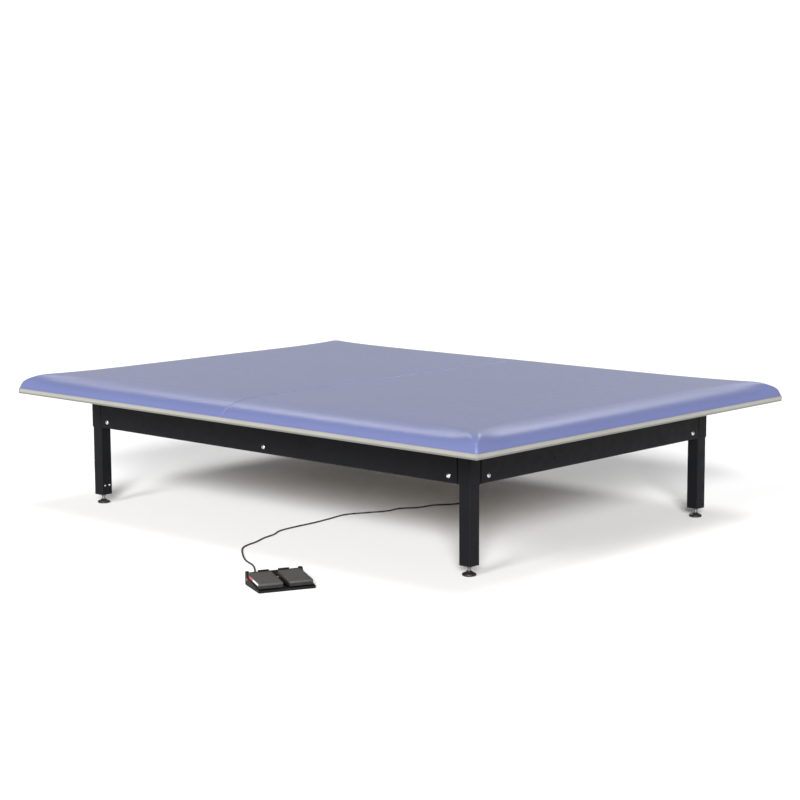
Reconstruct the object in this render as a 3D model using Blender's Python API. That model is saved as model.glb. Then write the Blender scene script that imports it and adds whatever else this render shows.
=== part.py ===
"""Powered treatment table: an upholstered platform on four lifting legs, with a twin-pedal foot control.

Metres, +Z up, +X along the platform. The origin is on the floor, under the middle of the whole object's
box, so the platform's own centre stands a little to the back of it: the foot control lies in front.
"""

import math

import bmesh
import bpy
from mathutils import Matrix, Vector

# Fits
GAP = 0.0003  # between pieces that touch
SLIDE = 0.0003  # each side of a piece that slides or turns in another
CUT_PAST = 0.01  # how far a cutter runs past what it cuts
JOIN_INSET = 0.0002  # so that joined faces don't lie in one plane
JOIN_SINK = 0.001  # how far a joined piece goes into another

# Platform
DECK_LENGTH = 2.4384  # over the trim
DECK_WIDTH = 1.8288  # over the trim
DECK_THICK = 0.0195
DECK_CORNER = 0.005  # radius in plan
OVERHANG = 0.2075  # from the trim to the frame's outer face
TRIM_THICK = 0.0035
TRIM_LIP = 0.0015  # how far the trim stands past the board's lower face
TRIM_CROWN = 0.0008  # how far its outer face bulges
BARB_DEEP = 0.008
BARB_THICK = 0.002
PAD_THICK = 0.0545
PAD_INSET = 0.001  # from the trim's outer face
PAD_ROLL = 0.120  # width of the rolled edge
COVER_THICK = 0.0015

# Frame
RAIL_BOTTOM = 0.3155  # height above the floor
RAIL_HEIGHT = 0.1397
RAIL_WALL = 0.003
RAIL_FLANGE = 0.038
RAIL_END_GAP = 0.0035  # between a rail's end and the corner post
POST_WALL = 0.002
POST_CAP = 0.004
EAR_THICK = 0.005
EAR_EDGE = 0.022  # from the bolt to the ear's end
EAR_SIDE = 0.011  # how far a cross member's end plate stands past it on each side
EAR_INSET = 0.0035  # below and above the ear, inside the rail's flanges
CROSS_WIDTH = 0.050
CROSS_DEPTH = 0.050
CROSS_WALL = 0.003

# Bolts
BOLT_FROM_FACE = 0.0414  # from the post's inner face
BOLT_HEIGHT = 0.0255  # above the rail's lower edge
BOLT_RADIUS = 0.004
BOLT_HEAD_RADIUS = 0.00875
BOLT_HEAD_TALL = 0.005
BOLT_SOCKET_RADIUS = 0.0029
BOLT_SOCKET_DEEP = 0.0025
BOLT_PAST_NUT = 0.003
RAIL_HOLE_SLACK = 0.0005
NUT_RADIUS = 0.008
NUT_DEEP = 0.0065

# Lifting legs
LEG_SIZE = 0.0508
LEG_WALL = 0.0021
LEG_CORNER = 0.004
LEG_BOTTOM = 0.0365  # height above the floor when the feet are screwed in
LEG_TOP_GAP = 0.0005
BUSH_WALL = 0.0027
BUSH_LENGTH = 0.056
BUSH_FLANGE = 0.002
INNER_WALL = 0.002
INNER_PLATE = 0.006
INNER_CORNER = 0.001  # radius inside it
INNER_TOP_BELOW_MOTOR = 0.018
NUT_PLUG_LENGTH = 0.030
NUT_FLANGE = 0.006
SCREW_RADIUS = 0.007
SCREW_FOOT_GAP = 0.009  # above the foot's stud
GEARBOX_SLACK = 0.0013  # each side, inside the leg tube
GEARBOX_TALL = 0.046
MOTOR_RADIUS = 0.0175
MOTOR_LENGTH = 0.112
MOTOR_CAP_RADIUS = 0.0185
MOTOR_CAP_LENGTH = 0.010
MOTOR_CAP_PAST = 0.002
WINDOW_SLACK = 0.002  # round the motor, where it leaves the leg and the post

# Levelling feet
FOOT_RADIUS = 0.025
FOOT_RIM = 0.004
FOOT_CONE_TOP = 0.015
FOOT_CONE_RADIUS = 0.01275
FOOT_STEP = 0.0015  # between the cone and the neck
FOOT_NECK_RADIUS = 0.0075
STUD_RADIUS = 0.005
STUD_ABOVE_PLATE = 0.023
HEX_ACROSS = 0.017
HEX_TALL = 0.008

# Control box
GLAND_PLACE = (0.100, 0.378)  # from the platform's centre
BOX_FROM_GLAND = 0.035  # from the gland to the box's middle, along the platform
BOX_LENGTH = 0.190
BOX_WIDTH = 0.130
BOX_TALL = 0.058
BOX_CORNER = 0.006
INLET_WIDTH = 0.036
INLET_TALL = 0.030
INLET_DEEP = 0.020
INLET_SOCKET = (0.0245, 0.017, 0.016)  # width, height, depth
GLAND_RADIUS = 0.009
GLAND_TIP_RADIUS = 0.0055
GLAND_LENGTH = 0.020

# Foot control
PEDAL_UNIT_CENTRE = (0.6156, -1.2152)  # from the platform's centre
PEDAL_UNIT_TURN = math.radians(65.4)
TRAY_WIDTH = 0.200
TRAY_DEPTH = 0.146
TRAY_FLOOR = 0.003
TRAY_CORNER = 0.006
TRAY_LIP = 0.009
TRAY_LIP_THICK = 0.005
REAR_WALL_TALL = 0.045
REAR_WALL_THICK = 0.005
REAR_NOTCH = 0.005
NOTCH_WIDTH = 0.033
REAR_POST = 0.012
CHEEK_THICK = 0.004
CHEEK_REAR = 0.014  # how far the full height runs forward from the rear
CHEEK_MIDDLE = 0.028
CHEEK_SLOPE = 0.012  # along its steep part
CHEEK_FRONT = 0.003  # from the tray's front
DIVIDER_THICK = 0.006
DIVIDER_TALL = 0.010
ROD_RADIUS = 0.003
ROD_HEIGHT = 0.020
ROD_FROM_REAR = 0.018
ROD_LUG = 0.005  # wall round the rod in the divider
PEDAL_SIDE_GAP = 0.001
PEDAL_BETWEEN = 0.022
PEDAL_FRONT = 0.012
PEDAL_REAR_GAP = 0.0045
PEDAL_UNDER = 0.010
PEDAL_FRONT_TOP = 0.029
PEDAL_REAR_TOP = 0.041
PEDAL_ROUND = 0.003
RELIEF_ACROSS = 0.060  # from the tray's middle, towards its left
RELIEF_HEIGHT = 0.014
RELIEF_RADIUS = 0.008
RELIEF_TIP_RADIUS = 0.0045
RELIEF_LENGTH = 0.022

# Foot control cord. Its route is from the platform's centre. Its two ends are worked out, at the strain
# relief and at the gland, and it lies on the floor between them.
CORD_RADIUS = 0.003
CORD_STEP = 0.029
CORD_END_GAP = 0.0005
CORD_START = (0, 0.022, -0.001)  # the first stretch, straight out of the strain relief
CORD_ROUTE = (
    (0.466, -1.201, 0.0052),
    (0.428, -1.161, 0.0031),
    (0.387, -1.118, 0.0031),
    (0.324, -1.070, 0.0031),
    (0.243, -1.030, 0.0031),
    (0.152, -0.960, 0.0031),
    (0.096, -0.907, 0.0031),
    (0.070, -0.862, 0.0031),
    (0.052, -0.800, 0.0031),
    (0.022, -0.728, 0.0031),
    (0.005, -0.665, 0.0031),
    (-0.028, -0.598, 0.0031),
    (-0.037, -0.504, 0.0031),
    (-0.038, -0.410, 0.0031),
    (-0.048, -0.315, 0.0031),
    (-0.059, -0.215, 0.0031),
    (-0.021, -0.128, 0.0031),
    (0.014, -0.055, 0.0031),
    (0.018, 0.020, 0.0031),
    (0.060, 0.085, 0.0031),
    (0.074, 0.165, 0.0031),
    (0.114, 0.222, 0.0031),
    (0.133, 0.284, 0.0040),
    (0.135, 0.312, 0.0110),
    (0.126, 0.338, 0.0350),
    (0.111, 0.362, 0.0900),
    (0.103, 0.374, 0.1700),
    (0.100, 0.378, 0.2700),
)

# Smoothness
CORNER_STEPS = 4
ROUND_SIDES = 20
SMALL_SIDES = 12

# Worked out from the values above
POST_SIZE = LEG_SIZE + 2 * (GAP + POST_WALL)
BOLT_FROM_POST = POST_SIZE / 2 + BOLT_FROM_FACE
FRAME_X = DECK_LENGTH / 2 - OVERHANG
FRAME_Y = DECK_WIDTH / 2 - OVERHANG
POST_X = FRAME_X - POST_SIZE / 2
POST_Y = FRAME_Y - POST_SIZE / 2
FRAME_TOP = RAIL_BOTTOM + RAIL_HEIGHT
DECK_BOTTOM = FRAME_TOP + GAP
DECK_TOP = DECK_BOTTOM + DECK_THICK
BOLT_Z = RAIL_BOTTOM + BOLT_HEIGHT
EAR_LOW = RAIL_BOTTOM + RAIL_WALL + EAR_INSET
EAR_HIGH = FRAME_TOP - RAIL_WALL - EAR_INSET
CAP_UNDERSIDE = FRAME_TOP - POST_CAP
GEARBOX_TOP = CAP_UNDERSIDE - GAP
GEARBOX_BOTTOM = GEARBOX_TOP - GEARBOX_TALL
MOTOR_Z = GEARBOX_BOTTOM + GEARBOX_TALL / 2
LEG_HOLLOW = LEG_SIZE - 2 * LEG_WALL
GEARBOX_SIZE = LEG_HOLLOW - 2 * GEARBOX_SLACK
BUSH_SIZE = LEG_HOLLOW - 2 * GAP
INNER_SIZE = BUSH_SIZE - 2 * BUSH_WALL - 2 * SLIDE
INNER_HOLLOW = INNER_SIZE - 2 * INNER_WALL
INNER_TOP = GEARBOX_BOTTOM - INNER_TOP_BELOW_MOTOR
STUD_TOP = LEG_BOTTOM + INNER_PLATE + STUD_ABOVE_PLATE
BOX_CENTRE = (GLAND_PLACE[0] + BOX_FROM_GLAND, GLAND_PLACE[1])


def clear_scene():
    for obj in list(bpy.data.objects):
        bpy.data.objects.remove(obj, do_unlink=True)


def material(name, colour, roughness, metallic=0.0):
    """A Principled material."""
    made = bpy.data.materials.new(name)
    made.use_nodes = True
    shader = made.node_tree.nodes["Principled BSDF"]
    shader.inputs["Base Color"].default_value = (*colour, 1.0)
    shader.inputs["Roughness"].default_value = roughness
    shader.inputs["Metallic"].default_value = metallic
    return made


def empty(name, parent=None, location=(0, 0, 0), turn=0.0):
    """An axis that other objects are parented to."""
    made = bpy.data.objects.new(name, None)
    bpy.context.scene.collection.objects.link(made)
    made.parent = parent
    made.location = location
    made.rotation_euler = (0, 0, turn)
    return made


def add(name, bm, finish, parent, location=(0, 0, 0), turn=0.0, smooth=False):
    """Turns a bmesh into a named object with its faces outwards."""
    bm.normal_update()
    bmesh.ops.recalc_face_normals(bm, faces=bm.faces)
    mesh = bpy.data.meshes.new(name)
    bm.to_mesh(mesh)
    bm.free()
    if finish:
        mesh.materials.append(finish)
    if smooth:
        mesh.shade_smooth()
        mesh.set_sharp_from_angle(angle=math.radians(35))
    made = bpy.data.objects.new(name, mesh)
    bpy.context.scene.collection.objects.link(made)
    made.parent = parent
    made.location = location
    made.rotation_euler = (0, 0, turn)
    return made


def boolean(target, bm, operation):
    """Cuts a helper shape from an object, or joins it on. The helper has the object's own place and turn."""
    name = f"{target.name}_{operation.lower()}_{len(target.modifiers)}"
    helper = add(name, bm, None, target.parent, target.location, target.rotation_euler.z)
    helper.hide_render = True
    helper.display_type = "WIRE"
    modifier = target.modifiers.new(operation.title(), "BOOLEAN")
    modifier.operation = operation
    modifier.solver = "EXACT"
    modifier.object = helper


def box(bm, x, y, z):
    """A box between the low and high values of each axis."""
    middle = Vector([sum(span) / 2 for span in (x, y, z)])
    size = [span[1] - span[0] for span in (x, y, z)]
    matrix = Matrix.Translation(middle) @ Matrix.Diagonal((*size, 1))
    bmesh.ops.create_cube(bm, size=1, matrix=matrix)


def rod(bm, start, end, radius, end_radius=None, sides=SMALL_SIDES, turn=0.0):
    """A cylinder or a cone from start to end."""
    start, end = Vector(start), Vector(end)
    along = end - start
    matrix = Matrix.Translation((start + end) / 2) @ along.to_track_quat("Z", "Y").to_matrix().to_4x4()
    bmesh.ops.create_cone(
        bm,
        cap_ends=True,
        segments=sides,
        radius1=radius,
        radius2=radius if end_radius is None else end_radius,
        depth=along.length,
        matrix=matrix @ Matrix.Rotation(turn, 4, "Z"),
    )


def rounded_ring(bm, half_x, half_y, radius, z, steps=CORNER_STEPS):
    """A level loop of vertices round a rectangle with round corners, anticlockwise from above."""
    loop = []
    for quarter in range(4):
        side_x = 1 if quarter in (0, 3) else -1
        side_y = 1 if quarter in (0, 1) else -1
        for step in range(steps + 1):
            angle = math.radians(90) * (quarter + step / steps)
            x = side_x * (half_x - radius) + radius * math.cos(angle)
            y = side_y * (half_y - radius) + radius * math.sin(angle)
            loop.append(bm.verts.new((x, y, z)))
    return loop


def skin(bm, loops, closed=False):
    """Quads between neighbouring loops. An open skin is capped at both ends."""
    pairs = list(zip(loops, loops[1:], strict=False))
    if closed:
        pairs.append((loops[-1], loops[0]))
    for lower, upper in pairs:
        for i, vertex in enumerate(lower):
            after = (i + 1) % len(lower)
            bm.faces.new((vertex, lower[after], upper[after], upper[i]))
    if not closed:
        bm.faces.new(list(reversed(loops[0])))
        bm.faces.new(loops[-1])


def turned(bm, profile, sides):
    """A solid of revolution about Z from (radius, height) pairs, with a flat cap at each end."""
    loops = []
    for radius, height in profile:
        loop = []
        for step in range(sides):
            angle = 2 * math.pi * step / sides
            loop.append(bm.verts.new((radius * math.cos(angle), radius * math.sin(angle), height)))
        loops.append(loop)
    skin(bm, loops)


def extruded(bm, outline, start, end, place):
    """A prism of a flat outline. place(a, b, along) gives the point of outline (a, b) at that distance."""
    loops = [[bm.verts.new(place(a, b, along)) for a, b in outline] for along in (start, end)]
    skin(bm, loops)


def square_loops(bm, size, radius, heights):
    """Level loops round a square tube, at these heights."""
    return [rounded_ring(bm, size / 2, size / 2, radius, z, steps=2) for z in heights]


def mirrored(bm, side_x, side_y):
    """Turns a corner piece, made with +X and +Y inwards, to the corner on these sides of the platform."""
    for vertex in bm.verts:
        vertex.co.x *= -side_x
        vertex.co.y *= -side_y
    return bm


# Platform


def pad_height(inset, roll):
    """The rolled edge's share of the full height this far in from the rim: a quarter of an ellipse."""
    if inset >= roll:
        return 1.0
    return math.sqrt(max(0.0, 1 - (1 - inset / roll) ** 2))


def pad_stations(half, roll):
    """Where the pad's grid lines run: closer together at the rim, where it is steep."""
    insets = [roll * share for share in (0, 0.03, 0.11, 0.27, 0.52, 1)]
    return [-half + inset for inset in insets] + [0.0] + [half - inset for inset in reversed(insets)]


def rounded_corner(x, y, half_x, half_y, radius):
    """Moves a point near a rectangle's corner in, so that square lines become round ones."""
    out_x = abs(x) - (half_x - radius)
    out_y = abs(y) - (half_y - radius)
    if out_x <= 0 or out_y <= 0:
        return x, y
    scale = max(out_x, out_y) / math.hypot(out_x, out_y)
    new_x = half_x - radius + out_x * scale
    new_y = half_y - radius + out_y * scale
    return math.copysign(new_x, x), math.copysign(new_y, y)


def pad_grid(bm, inset, tall, base):
    """The pad's upper surface as rows of vertices. Where two rolled edges meet, their heights multiply."""
    half_x, half_y = DECK_LENGTH / 2 - inset, DECK_WIDTH / 2 - inset
    corner = DECK_CORNER - inset
    rows = []
    for y in pad_stations(half_y, PAD_ROLL):
        row = []
        for x in pad_stations(half_x, PAD_ROLL):
            share = pad_height(half_x - abs(x), PAD_ROLL) * pad_height(half_y - abs(y), PAD_ROLL)
            place = rounded_corner(x, y, half_x, half_y, corner)
            row.append(bm.verts.new((*place, base + tall * share)))
        rows.append(row)
    cells = []
    for low, high in zip(rows, rows[1:], strict=False):
        for i in range(len(low) - 1):
            cell = [low[i], low[i + 1], high[i + 1], high[i]]
            middle = low[i].co + high[i + 1].co
            if middle.x * middle.y < 0:
                cell = cell[1:] + cell[:1]
            cells.append(bm.faces.new(cell))
    # Each cell is split along the line from its corner of the pad, so the layers' folds match.
    bmesh.ops.triangulate(bm, faces=cells, quad_method="FIXED")
    return rows


def rim_of(rows):
    """The outer loop of a grid of vertices."""
    left = [row[0] for row in reversed(rows[1:-1])]
    right = [row[-1] for row in rows[1:-1]]
    return rows[0] + right + list(reversed(rows[-1])) + left


def pad_cover(finish, parent):
    inset = PAD_INSET
    bm = bmesh.new()
    base = DECK_TOP + GAP
    outer = rim_of(pad_grid(bm, inset, PAD_THICK, base))
    inner = rim_of(pad_grid(bm, inset + COVER_THICK, PAD_THICK - COVER_THICK, base))
    for i, vertex in enumerate(outer):
        after = (i + 1) % len(outer)
        bm.faces.new((vertex, inner[i], inner[after], outer[after]))
    return add("pad_cover", bm, finish, parent, smooth=True)


def pad_foam(finish, parent):
    inset = PAD_INSET + COVER_THICK + GAP
    bm = bmesh.new()
    base = DECK_TOP + GAP
    tall = PAD_THICK - COVER_THICK - GAP
    rows = pad_grid(bm, inset, tall, base)
    bm.faces.new(rim_of(rows))
    return add("pad_foam", bm, finish, parent, smooth=True)


def deck_ring(bm, inset, z):
    radius = max(DECK_CORNER - inset, 0.001)
    return rounded_ring(bm, DECK_LENGTH / 2 - inset, DECK_WIDTH / 2 - inset, radius, z)


def deck_board(finish, parent):
    """The board, with a groove round its edge for the trim's barb."""
    edge = TRIM_THICK + GAP
    groove = edge + BARB_DEEP + GAP
    middle = DECK_BOTTOM + DECK_THICK / 2
    half = BARB_THICK / 2 + GAP
    profile = (
        (edge, DECK_BOTTOM),
        (edge, middle - half),
        (groove, middle - half),
        (groove, middle + half),
        (edge, middle + half),
        (edge, DECK_TOP),
    )
    bm = bmesh.new()
    skin(bm, [deck_ring(bm, inset, z) for inset, z in profile])
    return add("deck_board", bm, finish, parent)


def edge_trim(finish, parent):
    """One loop of T-section moulding: a crowned outer band and a barb that goes into the board's groove."""
    low = DECK_BOTTOM - TRIM_LIP
    high = DECK_TOP
    middle = DECK_BOTTOM + DECK_THICK / 2
    half = BARB_THICK / 2
    profile = (
        (TRIM_CROWN, low),
        (0, low + TRIM_THICK),
        (0, high - TRIM_THICK),
        (TRIM_CROWN, high),
        (TRIM_THICK, high),
        (TRIM_THICK, middle + half),
        (TRIM_THICK + BARB_DEEP, middle + half),
        (TRIM_THICK + BARB_DEEP, middle - half),
        (TRIM_THICK, middle - half),
        (TRIM_THICK, low),
    )
    bm = bmesh.new()
    skin(bm, [deck_ring(bm, inset, z) for inset, z in profile], closed=True)
    return add("edge_trim", bm, finish, parent)


# Frame


def rail(name, length, bolts, finish, parent, location, turn):
    """A channel with its web outwards at y = 0 and its flanges inwards, and a hole for each bolt."""
    wall, flange, tall = RAIL_WALL, RAIL_FLANGE, RAIL_HEIGHT
    outline = (
        (0, 0),
        (flange, 0),
        (flange, wall),
        (wall, wall),
        (wall, tall - wall),
        (flange, tall - wall),
        (flange, tall),
        (0, tall),
    )
    bm = bmesh.new()
    extruded(bm, outline, -length / 2, length / 2, lambda y, z, x: (x, y, z + RAIL_BOTTOM))
    made = add(name, bm, finish, parent, location, turn)
    holes = bmesh.new()
    for x in bolts:
        rod(holes, (x, -wall, BOLT_Z), (x, 2 * wall, BOLT_Z), BOLT_RADIUS + RAIL_HOLE_SLACK)
    boolean(made, holes, "DIFFERENCE")
    return made


def weld_nut(bm, place, depth):
    """A welded nut behind a plate whose back is at this depth, sunk into it a little so that they join."""
    rod(bm, place(depth - JOIN_SINK), place(depth + NUT_DEEP), NUT_RADIUS, sides=6)


def bolt_hole(bm, place, depth):
    """The clearance for a bolt through a plate and its nut."""
    rod(bm, place(depth - 2 * EAR_THICK), place(depth + 2 * NUT_DEEP), BOLT_RADIUS + GAP)


def bolt(name, depth, finish, parent, location, turn):
    """A button-head bolt along +Y, its head's seat at y = 0. depth is how far the nut's back is."""
    profile = (
        (BOLT_SOCKET_RADIUS, BOLT_HEAD_TALL - BOLT_SOCKET_DEEP),
        (BOLT_SOCKET_RADIUS, BOLT_HEAD_TALL),
        (0.55 * BOLT_HEAD_RADIUS, 0.9 * BOLT_HEAD_TALL),
        (0.85 * BOLT_HEAD_RADIUS, 0.6 * BOLT_HEAD_TALL),
        (BOLT_HEAD_RADIUS, 0.15 * BOLT_HEAD_TALL),
        (BOLT_HEAD_RADIUS, GAP),
        (BOLT_RADIUS, GAP),
        (BOLT_RADIUS, -depth - BOLT_PAST_NUT),
    )
    bm = bmesh.new()
    turned(bm, profile, SMALL_SIDES)
    bmesh.ops.rotate(bm, verts=bm.verts, matrix=Matrix.Rotation(math.radians(90), 3, "X"))
    return add(name, bm, finish, parent, location, turn, smooth=True)


def corner_post(name, sides, finish, parent, location):
    """A square sleeve with a closed top, and two ears with welded nuts, one behind each rail's web."""
    half = POST_SIZE / 2
    bore = LEG_SIZE / 2 + GAP
    corner = LEG_CORNER
    ear_back = -half + RAIL_WALL + GAP + EAR_THICK
    ear_end = BOLT_FROM_POST + EAR_EDGE
    bm = bmesh.new()
    inner_high = rounded_ring(bm, bore, bore, corner, CAP_UNDERSIDE, steps=2)
    inner_low = rounded_ring(bm, bore, bore, corner, RAIL_BOTTOM, steps=2)
    outer_low = rounded_ring(bm, half, half, corner, RAIL_BOTTOM, steps=2)
    outer_high = rounded_ring(bm, half, half, corner, FRAME_TOP, steps=2)
    skin(bm, [inner_high, inner_low, outer_low, outer_high])
    made = add(name, mirrored(bm, *sides), finish, parent, location)

    in_wall = (half + bore) / 2
    across = (ear_back - EAR_THICK, ear_back)
    ears = bmesh.new()
    box(ears, (in_wall, ear_end), across, (EAR_LOW, EAR_HIGH))
    box(ears, across, (in_wall, ear_end), (EAR_LOW, EAR_HIGH))
    boolean(made, mirrored(ears, *sides), "UNION")

    def side_place(depth):
        return (BOLT_FROM_POST, depth, BOLT_Z)

    def end_place(depth):
        return (depth, BOLT_FROM_POST, BOLT_Z)

    nuts = bmesh.new()
    cuts = bmesh.new()
    for place in (side_place, end_place):
        weld_nut(nuts, place, ear_back)
        bolt_hole(cuts, place, ear_back)
    window = MOTOR_RADIUS + WINDOW_SLACK
    box(cuts, (0, half + CUT_PAST), (-window, window), (MOTOR_Z - window, MOTOR_Z + window))
    boolean(made, mirrored(nuts, *sides), "UNION")
    boolean(made, mirrored(cuts, *sides), "DIFFERENCE")
    return made


def cross_member(finish, parent):
    """A channel, open below, between end plates that the middle bolts hold behind the long rails' webs."""
    half, wall = CROSS_WIDTH / 2, CROSS_WALL
    top = FRAME_TOP - RAIL_WALL - GAP
    bottom = top - CROSS_DEPTH
    outline = (
        (-half, bottom),
        (-half + wall, bottom),
        (-half + wall, top - wall),
        (half - wall, top - wall),
        (half - wall, bottom),
        (half, bottom),
        (half, top),
        (-half, top),
    )
    plate_face = FRAME_Y - RAIL_WALL - GAP
    plate_back = plate_face - EAR_THICK
    bm = bmesh.new()
    extruded(bm, outline, -plate_back - JOIN_SINK, plate_back + JOIN_SINK, lambda x, z, y: (x, y, z))
    made = add("cross_member", bm, finish, parent)
    plates = bmesh.new()
    nuts = bmesh.new()
    holes = bmesh.new()
    for side in (-1, 1):
        across = sorted((side * plate_face, side * plate_back))
        box(plates, (-half - EAR_SIDE, half + EAR_SIDE), across, (EAR_LOW, EAR_HIGH))

        def place(depth, side=side):
            return (0, side * (FRAME_Y - depth), BOLT_Z)

        back = FRAME_Y - plate_back
        weld_nut(nuts, place, back)
        bolt_hole(holes, place, back)
    boolean(made, plates, "UNION")
    boolean(made, nuts, "UNION")
    boolean(made, holes, "DIFFERENCE")
    return made


# Lifting legs


def leg_tube(name, sides, finish, parent, location):
    """The outer tube, fixed in the corner post, with a window for the motor."""
    low = LEG_BOTTOM + BUSH_FLANGE + GAP
    high = CAP_UNDERSIDE - LEG_TOP_GAP
    bm = bmesh.new()
    outer = square_loops(bm, LEG_SIZE, LEG_CORNER, (low, high))
    inner = square_loops(bm, LEG_HOLLOW, LEG_CORNER - LEG_WALL, (high, low))
    skin(bm, outer + inner, closed=True)
    made = add(name, bm, finish, parent, location)
    window = MOTOR_RADIUS + WINDOW_SLACK
    cut = bmesh.new()
    box(cut, (0, LEG_SIZE), (-window, window), (MOTOR_Z - window, MOTOR_Z + window))
    boolean(made, mirrored(cut, *sides), "DIFFERENCE")
    return made


def glide_bush(name, finish, parent, location):
    """A plastic sleeve in the outer tube's lower end, with a flange under it, that guides the inner leg."""
    flange_top = LEG_BOTTOM + BUSH_FLANGE
    top = LEG_BOTTOM + BUSH_LENGTH
    bore = INNER_SIZE + 2 * SLIDE
    bm = bmesh.new()
    flange = square_loops(bm, LEG_SIZE, LEG_CORNER, (LEG_BOTTOM, flange_top))
    sleeve = square_loops(bm, BUSH_SIZE, LEG_CORNER - LEG_WALL, (flange_top, top))
    inner = square_loops(bm, bore, LEG_CORNER - LEG_WALL, (top, LEG_BOTTOM))
    skin(bm, flange + sleeve + inner, closed=True)
    return add(name, bm, finish, parent, location)


def inner_leg(name, finish, parent, location):
    """The tube that slides in the bush, with a bored plate at its foot for the levelling foot's stud."""
    corner = LEG_CORNER - LEG_WALL
    bm = bmesh.new()
    outer = square_loops(bm, INNER_SIZE, corner, (LEG_BOTTOM, INNER_TOP))
    inner = square_loops(bm, INNER_HOLLOW, INNER_CORNER, (INNER_TOP, LEG_BOTTOM + INNER_PLATE))
    skin(bm, outer + inner)
    made = add(name, bm, finish, parent, location)
    hole = bmesh.new()
    hole_high = LEG_BOTTOM + INNER_PLATE + CUT_PAST
    rod(hole, (0, 0, LEG_BOTTOM - CUT_PAST), (0, 0, hole_high), STUD_RADIUS + SLIDE)
    boolean(made, hole, "DIFFERENCE")
    return made


def lift_nut(name, finish, parent, location):
    """A block in the inner leg's top that the lead screw turns in. Its flange guides the leg in the tube."""
    plug = INNER_HOLLOW - 2 * GAP
    flange = LEG_HOLLOW - 2 * SLIDE
    plug_low = INNER_TOP - NUT_PLUG_LENGTH
    flange_low = INNER_TOP + GAP
    bm = bmesh.new()
    lower = square_loops(bm, plug, INNER_CORNER, (plug_low, flange_low))
    upper = square_loops(bm, flange, LEG_CORNER - LEG_WALL, (flange_low, flange_low + NUT_FLANGE))
    skin(bm, lower + upper)
    made = add(name, bm, finish, parent, location)
    bore = bmesh.new()
    bore_end = flange_low + NUT_FLANGE + CUT_PAST
    rod(bore, (0, 0, plug_low - CUT_PAST), (0, 0, bore_end), SCREW_RADIUS + SLIDE, sides=ROUND_SIDES)
    boolean(made, bore, "DIFFERENCE")
    return made


def lead_screw(name, finish, parent, location):
    bm = bmesh.new()
    low = STUD_TOP + SCREW_FOOT_GAP
    rod(bm, (0, 0, low), (0, 0, GEARBOX_BOTTOM - GAP), SCREW_RADIUS, sides=ROUND_SIDES)
    return add(name, bm, finish, parent, location, smooth=True)


def gear_motor(name, sides, finish, parent, location):
    """A right-angle gearbox at the top of the leg, with its motor lying inwards under the deck."""
    half = GEARBOX_SIZE / 2
    bm = bmesh.new()
    box(bm, (-half, half), (-half, half), (GEARBOX_BOTTOM, GEARBOX_TOP))
    made = add(name, mirrored(bm, *sides), finish, parent, location)
    motor_end = half + MOTOR_LENGTH
    motor = bmesh.new()
    rod(motor, (half - JOIN_SINK, 0, MOTOR_Z), (motor_end, 0, MOTOR_Z), MOTOR_RADIUS, sides=ROUND_SIDES)
    boolean(made, mirrored(motor, *sides), "UNION")
    cap = bmesh.new()
    cap_start = (motor_end - MOTOR_CAP_LENGTH, 0, MOTOR_Z)
    cap_end = (motor_end + MOTOR_CAP_PAST, 0, MOTOR_Z)
    rod(cap, cap_start, cap_end, MOTOR_CAP_RADIUS, sides=ROUND_SIDES)
    boolean(made, mirrored(cap, *sides), "UNION")
    return made


def levelling_foot(name, finish, parent, location):
    """A disc, a hexagon to turn it by, and the stud that goes up into the inner leg's plate."""
    profile = (
        (FOOT_RADIUS, 0),
        (FOOT_RADIUS, FOOT_RIM),
        (FOOT_CONE_RADIUS, FOOT_CONE_TOP),
        (FOOT_NECK_RADIUS, FOOT_CONE_TOP + FOOT_STEP),
        (FOOT_NECK_RADIUS, LEG_BOTTOM - GAP - HEX_TALL / 2),
        (STUD_RADIUS, LEG_BOTTOM - GAP - HEX_TALL / 2),
        (STUD_RADIUS, STUD_TOP),
    )
    bm = bmesh.new()
    turned(bm, profile, ROUND_SIDES)
    made = add(name, bm, finish, parent, location, smooth=True)
    nut = bmesh.new()
    hex_radius = HEX_ACROSS / math.sqrt(3)
    rod(nut, (0, 0, LEG_BOTTOM - GAP - HEX_TALL), (0, 0, LEG_BOTTOM - GAP), hex_radius, sides=6)
    boolean(made, nut, "UNION")
    return made


# Control box


def control_box(finish, parent):
    top = DECK_BOTTOM - GAP
    bm = bmesh.new()
    half_x, half_y = BOX_LENGTH / 2, BOX_WIDTH / 2
    inset = BOX_CORNER / 2
    skin(
        bm,
        [
            rounded_ring(bm, half_x - inset, half_y - inset, BOX_CORNER, top - BOX_TALL),
            rounded_ring(bm, half_x, half_y, BOX_CORNER, top - BOX_TALL + inset),
            rounded_ring(bm, half_x, half_y, BOX_CORNER, top),
        ],
    )
    return add("control_box", bm, finish, parent, (*BOX_CENTRE, 0))


def power_inlet(finish, parent):
    """A mains inlet on the box's back wall, its socket open towards +Y."""
    middle = DECK_BOTTOM - GAP - BOX_TALL / 2
    width, tall, deep = INLET_SOCKET
    bm = bmesh.new()
    z_span = (middle - INLET_TALL / 2, middle + INLET_TALL / 2)
    box(bm, (-INLET_WIDTH / 2, INLET_WIDTH / 2), (0, INLET_DEEP), z_span)
    start = BOX_WIDTH / 2 + GAP
    made = add("power_inlet", bm, finish, parent, (BOX_CENTRE[0], BOX_CENTRE[1] + start, 0))
    socket = bmesh.new()
    z_span = (middle - tall / 2, middle + tall / 2)
    box(socket, (-width / 2, width / 2), (INLET_DEEP - deep, INLET_DEEP + CUT_PAST), z_span)
    boolean(made, socket, "DIFFERENCE")
    return made


def gland_top():
    return DECK_BOTTOM - GAP - BOX_TALL - GAP


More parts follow.
